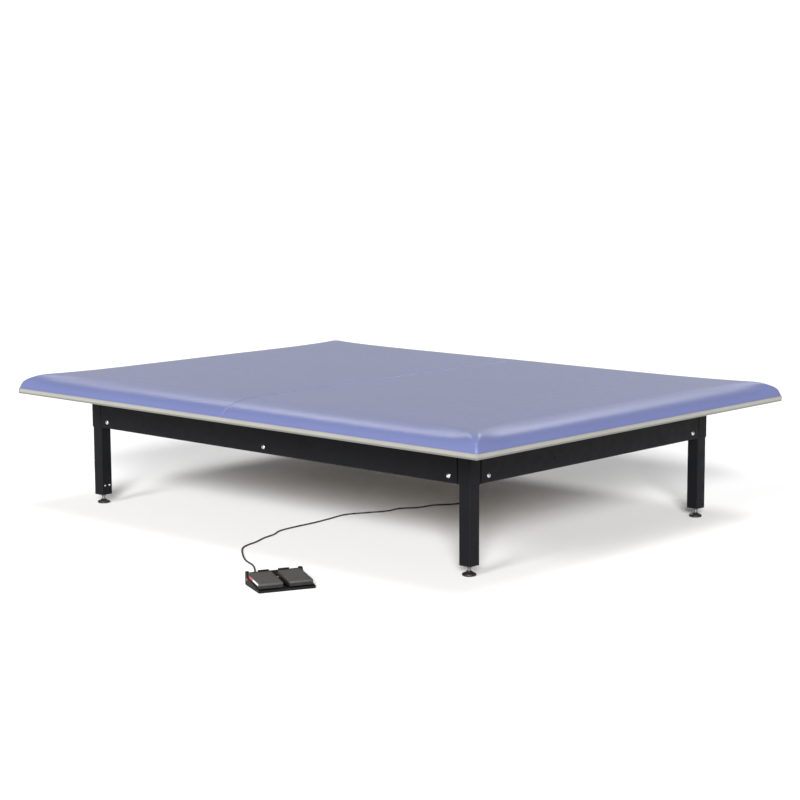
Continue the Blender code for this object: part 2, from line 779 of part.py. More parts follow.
def cord_gland(finish, parent):
    """The gland under the control box that the foot control's cord goes up into."""
    bm = bmesh.new()
    turned(
        bm,
        (
            (GLAND_TIP_RADIUS, gland_top() - GLAND_LENGTH),
            (GLAND_RADIUS, gland_top() - 0.5 * GLAND_LENGTH),
            (GLAND_RADIUS, gland_top()),
        ),
        SMALL_SIDES,
    )
    return add("cord_gland", bm, finish, parent, (*GLAND_PLACE, 0), smooth=True)


# Foot control. Its own frame has x to the right and y to the rear, from the middle of the tray.


def pedal_base(finish, parent):
    """The tray: a floor, a front lip, two cheeks, a notched rear wall and a low divider."""
    half_x, half_y = TRAY_WIDTH / 2, TRAY_DEPTH / 2
    rear, front = half_y, -half_y
    rod_y = rear - ROD_FROM_REAR
    bm = bmesh.new()
    skin(bm, [rounded_ring(bm, half_x, half_y, TRAY_CORNER, z, steps=2) for z in (0, TRAY_FLOOR)])
    made = add("pedal_base", bm, finish, parent)

    below = TRAY_FLOOR / 2
    outline = (
        (rear - JOIN_SINK, below),
        (rear - JOIN_SINK, REAR_WALL_TALL),
        (rear - CHEEK_REAR, REAR_WALL_TALL),
        (rear - CHEEK_REAR - CHEEK_SLOPE, CHEEK_MIDDLE),
        (front + CHEEK_FRONT, TRAY_LIP),
        (front + CHEEK_FRONT, below),
    )
    cheeks = bmesh.new()
    for side in (-1, 1):
        inner = side * (half_x - CHEEK_THICK)
        outer = side * (half_x - JOIN_INSET)
        extruded(cheeks, outline, inner, outer, lambda y, z, x: (x, y, z))
    boolean(made, cheeks, "UNION")

    walls = bmesh.new()
    inner_x = half_x - CHEEK_THICK / 2
    rear_wall = (rear - REAR_WALL_THICK, rear - JOIN_INSET)
    front_lip = (front + JOIN_INSET, front + TRAY_LIP_THICK)
    box(walls, (-inner_x, inner_x), rear_wall, (below, REAR_WALL_TALL - JOIN_INSET))
    box(walls, (-inner_x, inner_x), front_lip, (below, TRAY_LIP - JOIN_INSET))
    boolean(made, walls, "UNION")

    divider = bmesh.new()
    half = DIVIDER_THICK / 2
    lug = ROD_RADIUS + ROD_LUG
    outline = (
        (rear - REAR_WALL_THICK / 2, below),
        (rear - REAR_WALL_THICK / 2, ROD_HEIGHT + lug),
        (rod_y - lug, ROD_HEIGHT + lug),
        (rod_y - 2 * lug, DIVIDER_TALL),
        (front + TRAY_LIP_THICK / 2, TRAY_LIP - JOIN_SINK),
        (front + TRAY_LIP_THICK / 2, below),
    )
    extruded(divider, outline, -half, half, lambda y, z, x: (x, y, z))
    boolean(made, divider, "UNION")

    cuts = bmesh.new()
    hole_end = half_x + CUT_PAST
    rod(cuts, (-hole_end, rod_y, ROD_HEIGHT), (hole_end, rod_y, ROD_HEIGHT), ROD_RADIUS + GAP)
    notch_z = (REAR_WALL_TALL - REAR_NOTCH, REAR_WALL_TALL + CUT_PAST)
    first = -half_x + REAR_POST
    pitch = (TRAY_WIDTH - 2 * REAR_POST - NOTCH_WIDTH) / 2
    for i in range(3):
        start = first + i * pitch
        box(cuts, (start, start + NOTCH_WIDTH), (rear - 2 * REAR_WALL_THICK, rear + CUT_PAST), notch_z)
    boolean(made, cuts, "DIFFERENCE")
    return made


def pedal(name, side, finish, parent):
    """One rocker pedal, its origin on the rod. side is -1 for the left one and 1 for the right."""
    rod_y = TRAY_DEPTH / 2 - ROD_FROM_REAR
    front = -TRAY_DEPTH / 2 + PEDAL_FRONT - rod_y
    rear = ROD_FROM_REAR - REAR_WALL_THICK - PEDAL_REAR_GAP
    drop = ROD_HEIGHT
    outline = (
        (rear, PEDAL_UNDER - drop),
        (rear, PEDAL_REAR_TOP - PEDAL_ROUND - drop),
        (rear - PEDAL_ROUND, PEDAL_REAR_TOP - drop),
        (front + PEDAL_ROUND, PEDAL_FRONT_TOP - drop),
        (front, PEDAL_FRONT_TOP - PEDAL_ROUND - drop),
        (front, PEDAL_UNDER - drop),
    )
    inner = side * PEDAL_BETWEEN / 2
    outer = side * (TRAY_WIDTH / 2 - CHEEK_THICK - PEDAL_SIDE_GAP)
    bm = bmesh.new()
    extruded(bm, outline, inner, outer, lambda y, z, x: (x, y, z))
    made = add(name, bm, finish, parent)
    bore = bmesh.new()
    rod(bore, (inner - side * CUT_PAST, 0, 0), (outer + side * CUT_PAST, 0, 0), ROD_RADIUS + SLIDE)
    boolean(made, bore, "DIFFERENCE")
    return made


def pedal_rod(finish, parent):
    half = TRAY_WIDTH / 2
    bm = bmesh.new()
    rod(bm, (-half, 0, 0), (half, 0, 0), ROD_RADIUS)
    return add("pedal_rod", bm, finish, parent, smooth=True)


def relief_end():
    """Where the cord leaves the strain relief, in the foot control's own frame."""
    return Vector((-RELIEF_ACROSS, TRAY_DEPTH / 2 + GAP + RELIEF_LENGTH, RELIEF_HEIGHT))


def cord_relief(finish, parent):
    end = relief_end()
    start = end - Vector((0, RELIEF_LENGTH, 0))
    bm = bmesh.new()
    rod(bm, start, end, RELIEF_RADIUS, RELIEF_TIP_RADIUS)
    return add("cord_relief", bm, finish, parent, smooth=True)


# Cord


def smooth_line(points, step):
    """Points this far apart along one smooth curve through the route."""
    ends = [2 * points[0] - points[1]] + points + [2 * points[-1] - points[-2]]
    fine = []
    for i in range(1, len(ends) - 2):
        before, start, end, after = ends[i - 1 : i + 3]
        for share in [k / 40 for k in range(40)]:
            fine.append(
                start
                + 0.5 * share * (end - before)
                + share**2 * (before - 2.5 * start + 2 * end - 0.5 * after)
                + share**3 * (-0.5 * before + 1.5 * start - 1.5 * end + 0.5 * after)
            )
    fine.append(ends[-2])
    line = [fine[0]]
    travelled = 0.0
    total = sum((b - a).length for a, b in zip(fine, fine[1:], strict=False))
    spacing = total / round(total / step)
    for a, b in zip(fine, fine[1:], strict=False):
        length = (b - a).length
        while travelled + length >= spacing * len(line) and len(line) < round(total / step):
            line.append(a + (b - a) * ((spacing * len(line) - travelled) / length))
        travelled += length
    return line + [fine[-1]]


def foot_cord(finish, parent, unit):
    """The foot control's cord, from the strain relief, along the floor, and up to the gland."""
    turn = Matrix.Rotation(PEDAL_UNIT_TURN, 3, "Z")
    away = Vector((0, CORD_END_GAP, 0))
    first = Vector((*PEDAL_UNIT_CENTRE, 0)) + turn @ (relief_end() + away)
    second = first + turn @ Vector(CORD_START)
    last = Vector((*GLAND_PLACE, gland_top() - GLAND_LENGTH - CORD_END_GAP))
    points = [first, second] + [Vector(point) for point in CORD_ROUTE] + [last]
    line = smooth_line(points, CORD_STEP)
    curve = bpy.data.curves.new("foot_cord", "CURVE")
    curve.dimensions = "3D"
    curve.bevel_depth = CORD_RADIUS
    curve.bevel_resolution = 2
    curve.use_fill_caps = True
    curve.materials.append(finish)
    spline = curve.splines.new("POLY")
    spline.points.add(len(line) - 1)
    for point, place in zip(spline.points, line, strict=True):
        point.co = (*place, 1)
    made = bpy.data.objects.new("foot_cord", curve)
    bpy.context.scene.collection.objects.link(made)
    made.parent = parent
    return made


def corners():
    """Name, signs and place of each corner."""
    for end, side_x in (("left", -1), ("right", 1)):
        for face, side_y in (("front", -1), ("back", 1)):
            yield f"{face}_{end}", (side_x, side_y), (side_x * POST_X, side_y * POST_Y, 0)


def platform_centre_y():
    """How far behind the origin the platform's centre is, so that the origin is under the whole box."""
    reach = TRAY_WIDTH / 2 * math.sin(PEDAL_UNIT_TURN) + TRAY_DEPTH / 2 * math.cos(PEDAL_UNIT_TURN)
    rounding = TRAY_CORNER * (math.sin(PEDAL_UNIT_TURN) + math.cos(PEDAL_UNIT_TURN) - 1)
    front = PEDAL_UNIT_CENTRE[1] - reach + rounding
    return -(front + DECK_WIDTH / 2) / 2


def make_frame(black, zinc, parent):
    side_length = 2 * (FRAME_X - POST_SIZE - RAIL_END_GAP)
    end_length = 2 * (FRAME_Y - POST_SIZE - RAIL_END_GAP)
    side_bolt = POST_X - BOLT_FROM_POST
    end_bolt = POST_Y - BOLT_FROM_POST
    nut_back = RAIL_WALL + GAP + EAR_THICK + NUT_DEEP
    quarter = math.radians(90)
    rails = (
        ("side_rail_front", side_length, (-side_bolt, 0, side_bolt), (0, -FRAME_Y, 0), 0),
        ("side_rail_back", side_length, (-side_bolt, 0, side_bolt), (0, FRAME_Y, 0), 2 * quarter),
        ("end_rail_right", end_length, (-end_bolt, end_bolt), (FRAME_X, 0, 0), quarter),
        ("end_rail_left", end_length, (-end_bolt, end_bolt), (-FRAME_X, 0, 0), -quarter),
    )
    for name, length, bolts, location, turn in rails:
        rail(name, length, bolts, black, parent, location, turn)
        for number, x in enumerate(bolts, 1):
            place = Vector(location) + Matrix.Rotation(turn, 3, "Z") @ Vector((x, 0, 0))
            place.z = BOLT_Z
            bolt(f"{name}_bolt_{number}", nut_back, zinc, parent, place, turn)
    cross_member(black, parent)


def main():
    clear_scene()
    vinyl = material("blue_vinyl", (0.26, 0.30, 0.50), 0.45)
    foam = material("foam", (0.80, 0.76, 0.62), 0.9)
    board = material("board", (0.42, 0.30, 0.19), 0.7)
    moulding = material("off_white_moulding", (0.62, 0.60, 0.54), 0.4)
    black = material("black_paint", (0.022, 0.023, 0.026), 0.4)
    zinc = material("zinc", (0.72, 0.73, 0.75), 0.3, 1.0)
    steel = material("steel", (0.55, 0.56, 0.58), 0.35, 1.0)
    plastic = material("black_plastic", (0.02, 0.02, 0.02), 0.5)
    grey = material("grey_plastic", (0.10, 0.10, 0.11), 0.5)
    bronze = material("bronze", (0.55, 0.38, 0.16), 0.4, 1.0)
    rubber = material("pedal_rubber", (0.045, 0.045, 0.043), 0.75)
    jacket = material("cord_jacket", (0.015, 0.015, 0.015), 0.5)

    centre = empty("platform_centre", None, (0, platform_centre_y(), 0))
    top = empty("lifting_top", centre)
    stand = empty("stand", centre)
    unit = empty("foot_control", stand, (*PEDAL_UNIT_CENTRE, 0), PEDAL_UNIT_TURN)
    pivot = empty("pedal_axis", unit, (0, TRAY_DEPTH / 2 - ROD_FROM_REAR, ROD_HEIGHT))

    pad_cover(vinyl, top)
    pad_foam(foam, top)
    deck_board(board, top)
    edge_trim(moulding, top)
    make_frame(black, zinc, top)
    for name, sides, place in corners():
        corner_post(f"corner_post_{name}", sides, black, top, place)
        leg_tube(f"leg_tube_{name}", sides, black, top, place)
        glide_bush(f"glide_bush_{name}", plastic, top, place)
        gear_motor(f"gear_motor_{name}", sides, grey, top, place)
        lead_screw(f"lead_screw_{name}", steel, top, place)
        inner_leg(f"inner_leg_{name}", steel, stand, place)
        lift_nut(f"lift_nut_{name}", bronze, stand, place)
        levelling_foot(f"levelling_foot_{name}", plastic, stand, place)
    control_box(grey, top)
    power_inlet(plastic, top)
    cord_gland(plastic, top)
    pedal_base(plastic, unit)
    pedal("pedal_left", -1, rubber, pivot)
    pedal("pedal_right", 1, rubber, pivot)
    pedal_rod(steel, pivot)
    cord_relief(plastic, unit)
    foot_cord(jacket, stand, unit)


main()
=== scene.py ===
import math

import bmesh
import bpy
from mathutils import Matrix, Vector, geometry, noise


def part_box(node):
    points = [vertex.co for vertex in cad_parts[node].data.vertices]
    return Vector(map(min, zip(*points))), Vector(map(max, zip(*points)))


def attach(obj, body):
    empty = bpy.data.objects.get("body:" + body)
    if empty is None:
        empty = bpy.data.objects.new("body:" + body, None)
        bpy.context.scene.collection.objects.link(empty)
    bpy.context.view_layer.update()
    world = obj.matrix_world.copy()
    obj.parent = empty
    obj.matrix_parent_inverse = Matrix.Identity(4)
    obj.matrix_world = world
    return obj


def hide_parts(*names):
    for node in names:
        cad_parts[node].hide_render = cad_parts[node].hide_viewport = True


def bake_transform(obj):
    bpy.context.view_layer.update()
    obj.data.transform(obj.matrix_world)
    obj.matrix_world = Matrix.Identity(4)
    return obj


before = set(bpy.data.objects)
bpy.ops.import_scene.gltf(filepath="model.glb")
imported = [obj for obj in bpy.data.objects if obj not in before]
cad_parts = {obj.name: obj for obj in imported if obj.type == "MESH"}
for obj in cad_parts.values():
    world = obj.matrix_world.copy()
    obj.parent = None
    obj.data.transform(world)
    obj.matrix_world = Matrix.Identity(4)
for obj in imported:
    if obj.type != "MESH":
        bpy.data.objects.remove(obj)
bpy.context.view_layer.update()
scene = bpy.context.scene
deckLow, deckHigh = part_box("deck_board")
midY = (deckLow.y + deckHigh.y) / 2  # the platform's middle is a little behind the origin
cornerSides = {
    "front_left": (-1, -1),
    "back_left": (-1, 1),
    "front_right": (1, -1),
    "back_right": (1, 1),
}
print("frame loaded, platform middle at y", round(midY, 4))


# Camera

view = {
    "place": (5.2068, -5.5955, 1.5130),  # from the platform's middle
    "lens": 87.443,
    "yaw": 132.724,
    "pitch": -7.977,
    "roll": -0.2234,
}

cameraData = bpy.data.cameras.new("studioCamera")
cameraData.lens = view["lens"]
cameraData.sensor_width = 36
cameraData.clip_end = 60
studioCamera = bpy.data.objects.new("studioCamera", cameraData)
scene.collection.objects.link(studioCamera)
aim = Matrix.Rotation(math.radians(view["yaw"] - 90), 4, "Z")
aim = aim @ Matrix.Rotation(math.radians(90 + view["pitch"]), 4, "X")
aim = aim @ Matrix.Rotation(math.radians(view["roll"]), 4, "Z")
studioCamera.matrix_world = Matrix.Translation(Vector(view["place"]) + Vector((0, midY, 0))) @ aim
scene.camera = studioCamera
print("camera set")


# Node helpers for the finishes


def startFinish(name, colour, roughness, sockets=None):
    made = bpy.data.materials.new(name)
    made.use_nodes = True
    tree = made.node_tree
    shader = tree.nodes["Principled BSDF"]
    shader.inputs["Base Color"].default_value = (*colour, 1)
    shader.inputs["Roughness"].default_value = roughness
    for socket, value in (sockets or {}).items():
        shader.inputs[socket].default_value = value
    place = tree.nodes.new("ShaderNodeTexCoord").outputs["Object"]
    return made, tree, shader, place


def stretched(tree, place, scale, turn=0.0):
    node = tree.nodes.new("ShaderNodeMapping")
    node.inputs["Scale"].default_value = scale
    node.inputs["Rotation"].default_value = (0, 0, turn)
    tree.links.new(place, node.inputs["Vector"])
    return node.outputs["Vector"]


def cloudy(tree, place, scale, detail=3.0, rough=0.5):
    node = tree.nodes.new("ShaderNodeTexNoise")
    node.inputs["Scale"].default_value = scale
    node.inputs["Detail"].default_value = detail
    node.inputs["Roughness"].default_value = rough
    tree.links.new(place, node.inputs["Vector"])
    return node.outputs["Fac"]


def pebbled(tree, place, scale, feature="F1"):
    node = tree.nodes.new("ShaderNodeTexVoronoi")
    node.feature = feature
    node.inputs["Scale"].default_value = scale
    tree.links.new(place, node.inputs["Vector"])
    return node.outputs["Distance"]


def ramped(tree, factor, stops):
    node = tree.nodes.new("ShaderNodeValToRGB")
    band = node.color_ramp
    while len(band.elements) < len(stops):
        band.elements.new(0.5)
    for element, (spot, colour) in zip(band.elements, stops):
        element.position = spot
        element.color = (*colour, 1)
    tree.links.new(factor, node.inputs["Fac"])
    return node.outputs["Color"]


def remapped(tree, factor, low, high, newLow, newHigh):
    node = tree.nodes.new("ShaderNodeMapRange")
    for socket, value in (("From Min", low), ("From Max", high), ("To Min", newLow), ("To Max", newHigh)):
        node.inputs[socket].default_value = value
    tree.links.new(factor, node.inputs["Value"])
    return node.outputs["Result"]


def mixed(tree, factor, first, second):
    node = tree.nodes.new("ShaderNodeMix")
    node.data_type = "RGBA"
    tree.links.new(factor, node.inputs[0])
    for socket, value in ((node.inputs[6], first), (node.inputs[7], second)):
        if isinstance(value, tuple):
            socket.default_value = (*value, 1)
        else:
            tree.links.new(value, socket)
    return node.outputs[2]


def raised(tree, shader, heights):
    # heights are (factor, depth in metres) pairs, one bump over the last
    below = None
    for factor, depth in heights:
        node = tree.nodes.new("ShaderNodeBump")
        node.inputs["Strength"].default_value = 1.0
        node.inputs["Distance"].default_value = depth
        tree.links.new(factor, node.inputs["Height"])
        if below:
            tree.links.new(below, node.inputs["Normal"])
        below = node.outputs["Normal"]
    tree.links.new(below, shader.inputs["Normal"])


def nearEdges(tree):
    # 1 close to a sharp edge, 0 on flats: where a rounded normal leaves the true one; it masks the painted
    #                                      edge shade
    soft = tree.nodes.new("ShaderNodeBevel")
    soft.samples = 4
    soft.inputs["Radius"].default_value = 0.0025
    compare = tree.nodes.new("ShaderNodeVectorMath")
    compare.operation = "DOT_PRODUCT"
    tree.links.new(soft.outputs["Normal"], compare.inputs[0])
    tree.links.new(tree.nodes.new("ShaderNodeNewGeometry").outputs["Normal"], compare.inputs[1])
    return remapped(tree, compare.outputs["Value"], 0.99, 0.85, 0.0, 1.0)


def powderFinish(name, colour, tint, roughness=0.48, grain=900, depth=0.00006, gloss=0.10):
    # baked powder paint: orange peel, faint clouding, and painted shade along its sharp edges
    made, tree, shader, place = startFinish(name, colour, roughness, {"Specular IOR Level": gloss})
    cloud = cloudy(tree, place, 6, 4)
    base = ramped(tree, cloud, ((0.3, colour), (0.7, tint)))
    # painted shade: sharp edges darkened to a thin dark line, standing in for the shade a rounded corner
    # shows
    paintedEdgeShade = tuple(c * 0.35 for c in tint)
    tree.links.new(mixed(tree, nearEdges(tree), base, paintedEdgeShade), shader.inputs["Base Color"])
    peel = cloudy(tree, place, grain, 2)
    sheen = remapped(tree, cloudy(tree, place, 35, 3), 0.3, 0.7, roughness - 0.05, roughness + 0.07)
    tree.links.new(sheen, shader.inputs["Roughness"])
    raised(tree, shader, ((peel, depth),))
    return made


def metalFinish(name, colour, roughness, scratchScale=(1, 1, 1), grain=1500):
    made, tree, shader, place = startFinish(name, colour, roughness, {"Metallic": 1.0})
    lines = cloudy(tree, stretched(tree, place, scratchScale), grain, 2)
    dull = tuple(c * 0.72 for c in colour)
    stained = ramped(tree, cloudy(tree, place, 60, 4), ((0.35, dull), (0.65, colour)))
    tree.links.new(stained, shader.inputs["Base Color"])
    sheen = remapped(tree, lines, 0.3, 0.7, roughness - 0.06, roughness + 0.1)
    tree.links.new(sheen, shader.inputs["Roughness"])
    raised(tree, shader, ((lines, 0.00001),))
    return made


def mouldedFinish(name, colour, roughness, grain=1400, depth=0.00004):
    # moulded plastic or rubber: a fine spark-eroded texture and faint scuffs
    made, tree, shader, place = startFinish(name, colour, roughness)
    scuff = cloudy(tree, stretched(tree, place, (1, 1, 0.4)), 45, 5, 0.6)
    pale = tuple(min(1, c * 1.35 + 0.002) for c in colour)
    tree.links.new(ramped(tree, scuff, ((0.45, colour), (0.75, pale))), shader.inputs["Base Color"])
    sheen = remapped(tree, scuff, 0.3, 0.7, roughness - 0.05, roughness + 0.08)
    tree.links.new(sheen, shader.inputs["Roughness"])
    raised(tree, shader, ((cloudy(tree, place, grain, 2), depth),))
    return made


blackFrame = powderFinish("blackFrame", (0.0042, 0.0044, 0.0058), (0.0058, 0.0060, 0.0076))
zincPlate = metalFinish("zincPlate", (0.66, 0.67, 0.68), 0.26)
darkSteel = metalFinish("darkSteel", (0.22, 0.22, 0.23), 0.34)
platedSteel = metalFinish("platedSteel", (0.56, 0.57, 0.59), 0.30, (1, 1, 0.03))
turnedBronze = metalFinish("turnedBronze", (0.55, 0.38, 0.18), 0.35, (1, 1, 6))
blackPlastic = mouldedFinish("blackPlastic", (0.006, 0.006, 0.0065), 0.45)
greyPlastic = mouldedFinish("greyPlastic", (0.060, 0.062, 0.066), 0.50)
blackRubber = mouldedFinish("blackRubber", (0.010, 0.010, 0.010), 0.62, 700, 0.00008)
motorPaint = powderFinish("motorPaint", (0.045, 0.047, 0.052), (0.070, 0.072, 0.078), 0.5, gloss=0.4)
trayPaint = powderFinish("trayPaint", (0.0060, 0.0060, 0.0062), (0.0095, 0.0093, 0.0090), 0.5, 1500, 0.00004)


# Mesh helpers


def addPiece(name, bm, body, finish, replaced=(), smoothUnder=40, weighted=True):
    # the mesh is already in its place, so the object stays at the origin
    mesh = bpy.data.meshes.new(name)
    bm.to_mesh(mesh)
    bm.free()
    mesh.materials.append(finish)
    mesh.shade_smooth()
    mesh.set_sharp_from_angle(angle=math.radians(smoothUnder))
    piece = bpy.data.objects.new(name, mesh)
    scene.collection.objects.link(piece)
    if weighted:
        flatten = piece.modifiers.new("flatFaces", "WEIGHTED_NORMAL")
        flatten.keep_sharp = True
    if body:
        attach(piece, body)
    if replaced:
        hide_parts(*replaced)
    return piece


def outward(bm):
    bmesh.ops.remove_doubles(bm, verts=bm.verts, dist=0.00001)
    bmesh.ops.recalc_face_normals(bm, faces=bm.faces)


def block(bm, low, high):
    low, high = Vector(low), Vector(high)
    size = Matrix.Diagonal((*(high - low), 1))
    return bmesh.ops.create_cube(bm, size=1, matrix=Matrix.Translation((low + high) / 2) @ size)["verts"]


def edgesOf(verts):
    return list({edge for vert in verts for edge in vert.link_edges})


def uprightEdges(verts, over=0.01):
    return [e for e in edgesOf(verts) if abs(e.verts[0].co.z - e.verts[1].co.z) > over]


def cutAcross(bm, spot, direction, dist=0.00001):
    geom = bm.verts[:] + bm.edges[:] + bm.faces[:]
    bmesh.ops.bisect_plane(bm, geom=geom, dist=dist, plane_co=spot, plane_no=direction)


def rounded(bm, edges, offset, segments=3):
    return bmesh.ops.bevel(
        bm, geom=edges, offset=offset, offset_type="OFFSET", segments=segments, profile=0.5,
        affect="EDGES", material=-1, clamp_overlap=True,
    )


def turnedOn(bm, profile, steps, place=Matrix.Identity(4), close=True):
    # profile is (radius, height) pairs, spun about Z, then put in place
    verts = [bm.verts.new((radius, 0, height)) for radius, height in profile]
    edges = [bm.edges.new(pair) for pair in zip(verts, verts[1:])]
    before = set(bm.verts) - set(verts)
    bmesh.ops.spin(
        bm, geom=verts + edges, cent=(0, 0, 0), axis=(0, 0, 1), dvec=(0, 0, 0),
        angle=2 * math.pi, steps=steps, use_merge=True, use_duplicate=False,
    )
    made = [vert for vert in bm.verts if vert not in before]
    bmesh.ops.remove_doubles(bm, verts=made, dist=0.000005)
    made = [vert for vert in bm.verts if vert.is_valid and vert not in before]
    if close:
        rims = [edge for edge in edgesOf(made) if edge.is_boundary]
        bmesh.ops.holes_fill(bm, edges=rims, sides=0)
    bmesh.ops.transform(bm, matrix=place, verts=made)
    return made


def axisPlace(spot, direction):
    return Matrix.Translation(spot) @ Vector(direction).to_track_quat("Z", "Y").to_matrix().to_4x4()


def refined(name, node, body, finish, bevel, over, under=40):
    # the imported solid's own shape, with the edges that turn by more than over degrees eased
    bm = bmesh.new()
    bm.from_mesh(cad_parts[node].data)
    bmesh.ops.remove_doubles(bm, verts=bm.verts, dist=0.00002)
    bmesh.ops.dissolve_limit(bm, angle_limit=math.radians(0.5), verts=bm.verts, edges=bm.edges)
    hard = [edge for edge in bm.edges if edge.is_manifold and edge.calc_face_angle(0) > math.radians(over)]
    rounded(bm, hard, bevel, 2)
    return addPiece(name, bm, body, finish, (node,), under)


# Cord, from the foot control's relief to the gland under the control box

cord = {
    "diameter": 0.006,
    "length": 2.25,
    "unitPlace": (0.6156, -1.2152),  # the foot control's middle, from the platform's
    "unitTurn": math.radians(65.4),
    "relief": (-0.060, 0.073 + 0.0003 + 0.022, 0.014),  # the relief's end, in the foot control's own frame
    "endGap": 0.0005,
    "blendFrom": 0.06,  # the height where it starts to rise with the platform
    "route": (
        (0.466, -1.201, 0.0052),
        (0.428, -1.161, 0.0031),
        (0.387, -1.118, 0.0031),
        (0.324, -1.070, 0.0031),
        (0.243, -1.030, 0.0031),
        (0.152, -0.960, 0.0031),
        (0.096, -0.907, 0.0031),
        (0.070, -0.862, 0.0031),
        (0.052, -0.800, 0.0031),
        (0.022, -0.728, 0.0031),
        (0.005, -0.665, 0.0031),
        (-0.028, -0.598, 0.0031),
        (-0.037, -0.504, 0.0031),
        (-0.038, -0.410, 0.0031),
        (-0.048, -0.315, 0.0031),
        (-0.059, -0.215, 0.0031),
        (-0.021, -0.128, 0.0031),
        (0.014, -0.055, 0.0031),
        (0.018, 0.020, 0.0031),
        (0.060, 0.085, 0.0031),
        (0.074, 0.165, 0.0031),
        (0.114, 0.222, 0.0031),
        (0.133, 0.284, 0.0040),
        (0.135, 0.312, 0.0110),
        (0.126, 0.338, 0.0350),
        (0.111, 0.362, 0.0900),
        (0.103, 0.374, 0.1700),
        (0.100, 0.378, 0.2700),
    ),
}

unitPlace = Matrix.Translation((cord["unitPlace"][0], cord["unitPlace"][1] + midY, 0))
unitPlace = unitPlace @ Matrix.Rotation(cord["unitTurn"], 4, "Z")
glandLow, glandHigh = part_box("cord_gland")
glandSpot = Vector(((glandLow.x + glandHigh.x) / 2, (glandLow.y + glandHigh.y) / 2, glandLow.z))


def cordPoints():
    reliefEnd = Vector(cord["relief"]) + Vector((0, cord["endGap"], 0))
    points = [unitPlace @ reliefEnd, unitPlace @ (reliefEnd + Vector((0, 0.022, -0.001)))]
    points += [Vector((x, y + midY, z)) for x, y, z in cord["route"]]
    return points + [glandSpot - Vector((0, 0, cord["endGap"]))]


def makeCord():
    points = cordPoints()
    curve = bpy.data.curves.new("footCord", "CURVE")
    curve.dimensions = "3D"
    curve.bevel_depth = cord["diameter"] / 2
    curve.bevel_resolution = 4
    curve.resolution_u = 10
    curve.use_fill_caps = True
    spline = curve.splines.new("BEZIER")
    spline.bezier_points.add(len(points) - 1)
    line = []
    for i, (knot, point) in enumerate(zip(spline.bezier_points, points)):
        before = points[i - 1] if i else 2 * points[0] - points[1]
        after = points[i + 1] if i + 1 < len(points) else 2 * points[-1] - points[-2]
        knot.co = point
        knot.handle_left = point - (after - before) / 6
        knot.handle_right = point + (after - before) / 6
    for first, second in zip(spline.bezier_points, spline.bezier_points[1:]):
        run = geometry.interpolate_bezier(first.co, first.handle_right, second.handle_left, second.co, 11)
        line += run[:-1]
    line.append(points[-1].copy())
    guide = bpy.data.objects.new("cordGuide", curve)
    scene.collection.objects.link(guide)
    bpy.context.view_layer.update()
    mesh = bpy.data.meshes.new_from_object(guide.evaluated_get(bpy.context.evaluated_depsgraph_get()))
    bpy.data.objects.remove(guide)
    bm = bmesh.new()
    bm.from_mesh(mesh)
    outward(bm)
    piece = addPiece("footCord", bm, None, blackRubber, ("foot_cord",), 60, False)
    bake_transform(piece)
    long = sum((b - a).length for a, b in zip(line, line[1:]))
    print("cord made,", round(long, 3), "m along its middle")
    return piece, line


cordPiece, cordLine = makeCord()


# Strain relief and gland, the two ends of the cord

reliefBoot = {"length": 0.022, "root": 0.008, "tip": 0.0045, "ribs": 4, "steps": 20}


def makeRelief():
    root, tip, length = reliefBoot["root"], reliefBoot["tip"], reliefBoot["length"]
    profile = [(root, 0), (root, 0.0035)]
    pitch = (length - 0.0065) / reliefBoot["ribs"]
    for rib in range(reliefBoot["ribs"]):
        low = 0.0035 + rib * pitch
        radius = root - (root - tip) * (low / length)
        profile += [(radius - 0.0011, low + 0.0004), (radius - 0.0012, low + pitch * 0.35)]
        profile += [(radius - 0.0002, low + pitch * 0.5), (radius - 0.0003, low + pitch)]
    profile += [(tip, length - 0.0025), (tip - 0.0006, length)]
    bm = bmesh.new()
    end = Vector(cord["relief"])
    place = unitPlace @ axisPlace(end - Vector((0, length, 0)), (0, 1, 0))
    turnedOn(bm, profile, reliefBoot["steps"], place)
    outward(bm)
    return addPiece("cordRelief", bm, "stand", blackRubber, ("cord_relief",), 50, False)


gland = {"flange": 0.009, "tip": 0.0055, "steps": 24, "across": 0.017}


def makeGland():
    top = glandHigh.z
    tall = glandHigh.z - glandLow.z
    bm = bmesh.new()
    profile = (
        (gland["flange"], 0), (gland["flange"], 0.0020), (gland["flange"] - 0.0006, 0.0026),
        (gland["flange"] - 0.0010, 0.0026), (gland["flange"] - 0.0010, 0.0075), (0.0082, 0.0082),
        (0.0078, 0.0125), (0.0070, tall - 0.0030), (0.0062, tall - 0.0008), (gland["tip"], tall),
    )
    place = axisPlace((glandSpot.x, glandSpot.y, top), (0, 0, -1))
    turnedOn(bm, profile, gland["steps"], place)
    radius = gland["across"] / math.sqrt(3)
    nut = bmesh.ops.create_cone(
        bm, cap_ends=True, segments=6, radius1=radius, radius2=radius, depth=0.0045,
        matrix=Matrix.Translation((glandSpot.x, glandSpot.y, top - 0.0052)),
    )["verts"]
    rounded(bm, edgesOf(nut), 0.0004, 2)
    outward(bm)
    return addPiece("cordGland", bm, "top", blackPlastic, ("cord_gland",))


reliefPiece = makeRelief()
glandPiece = makeGland()


# Upholstered top

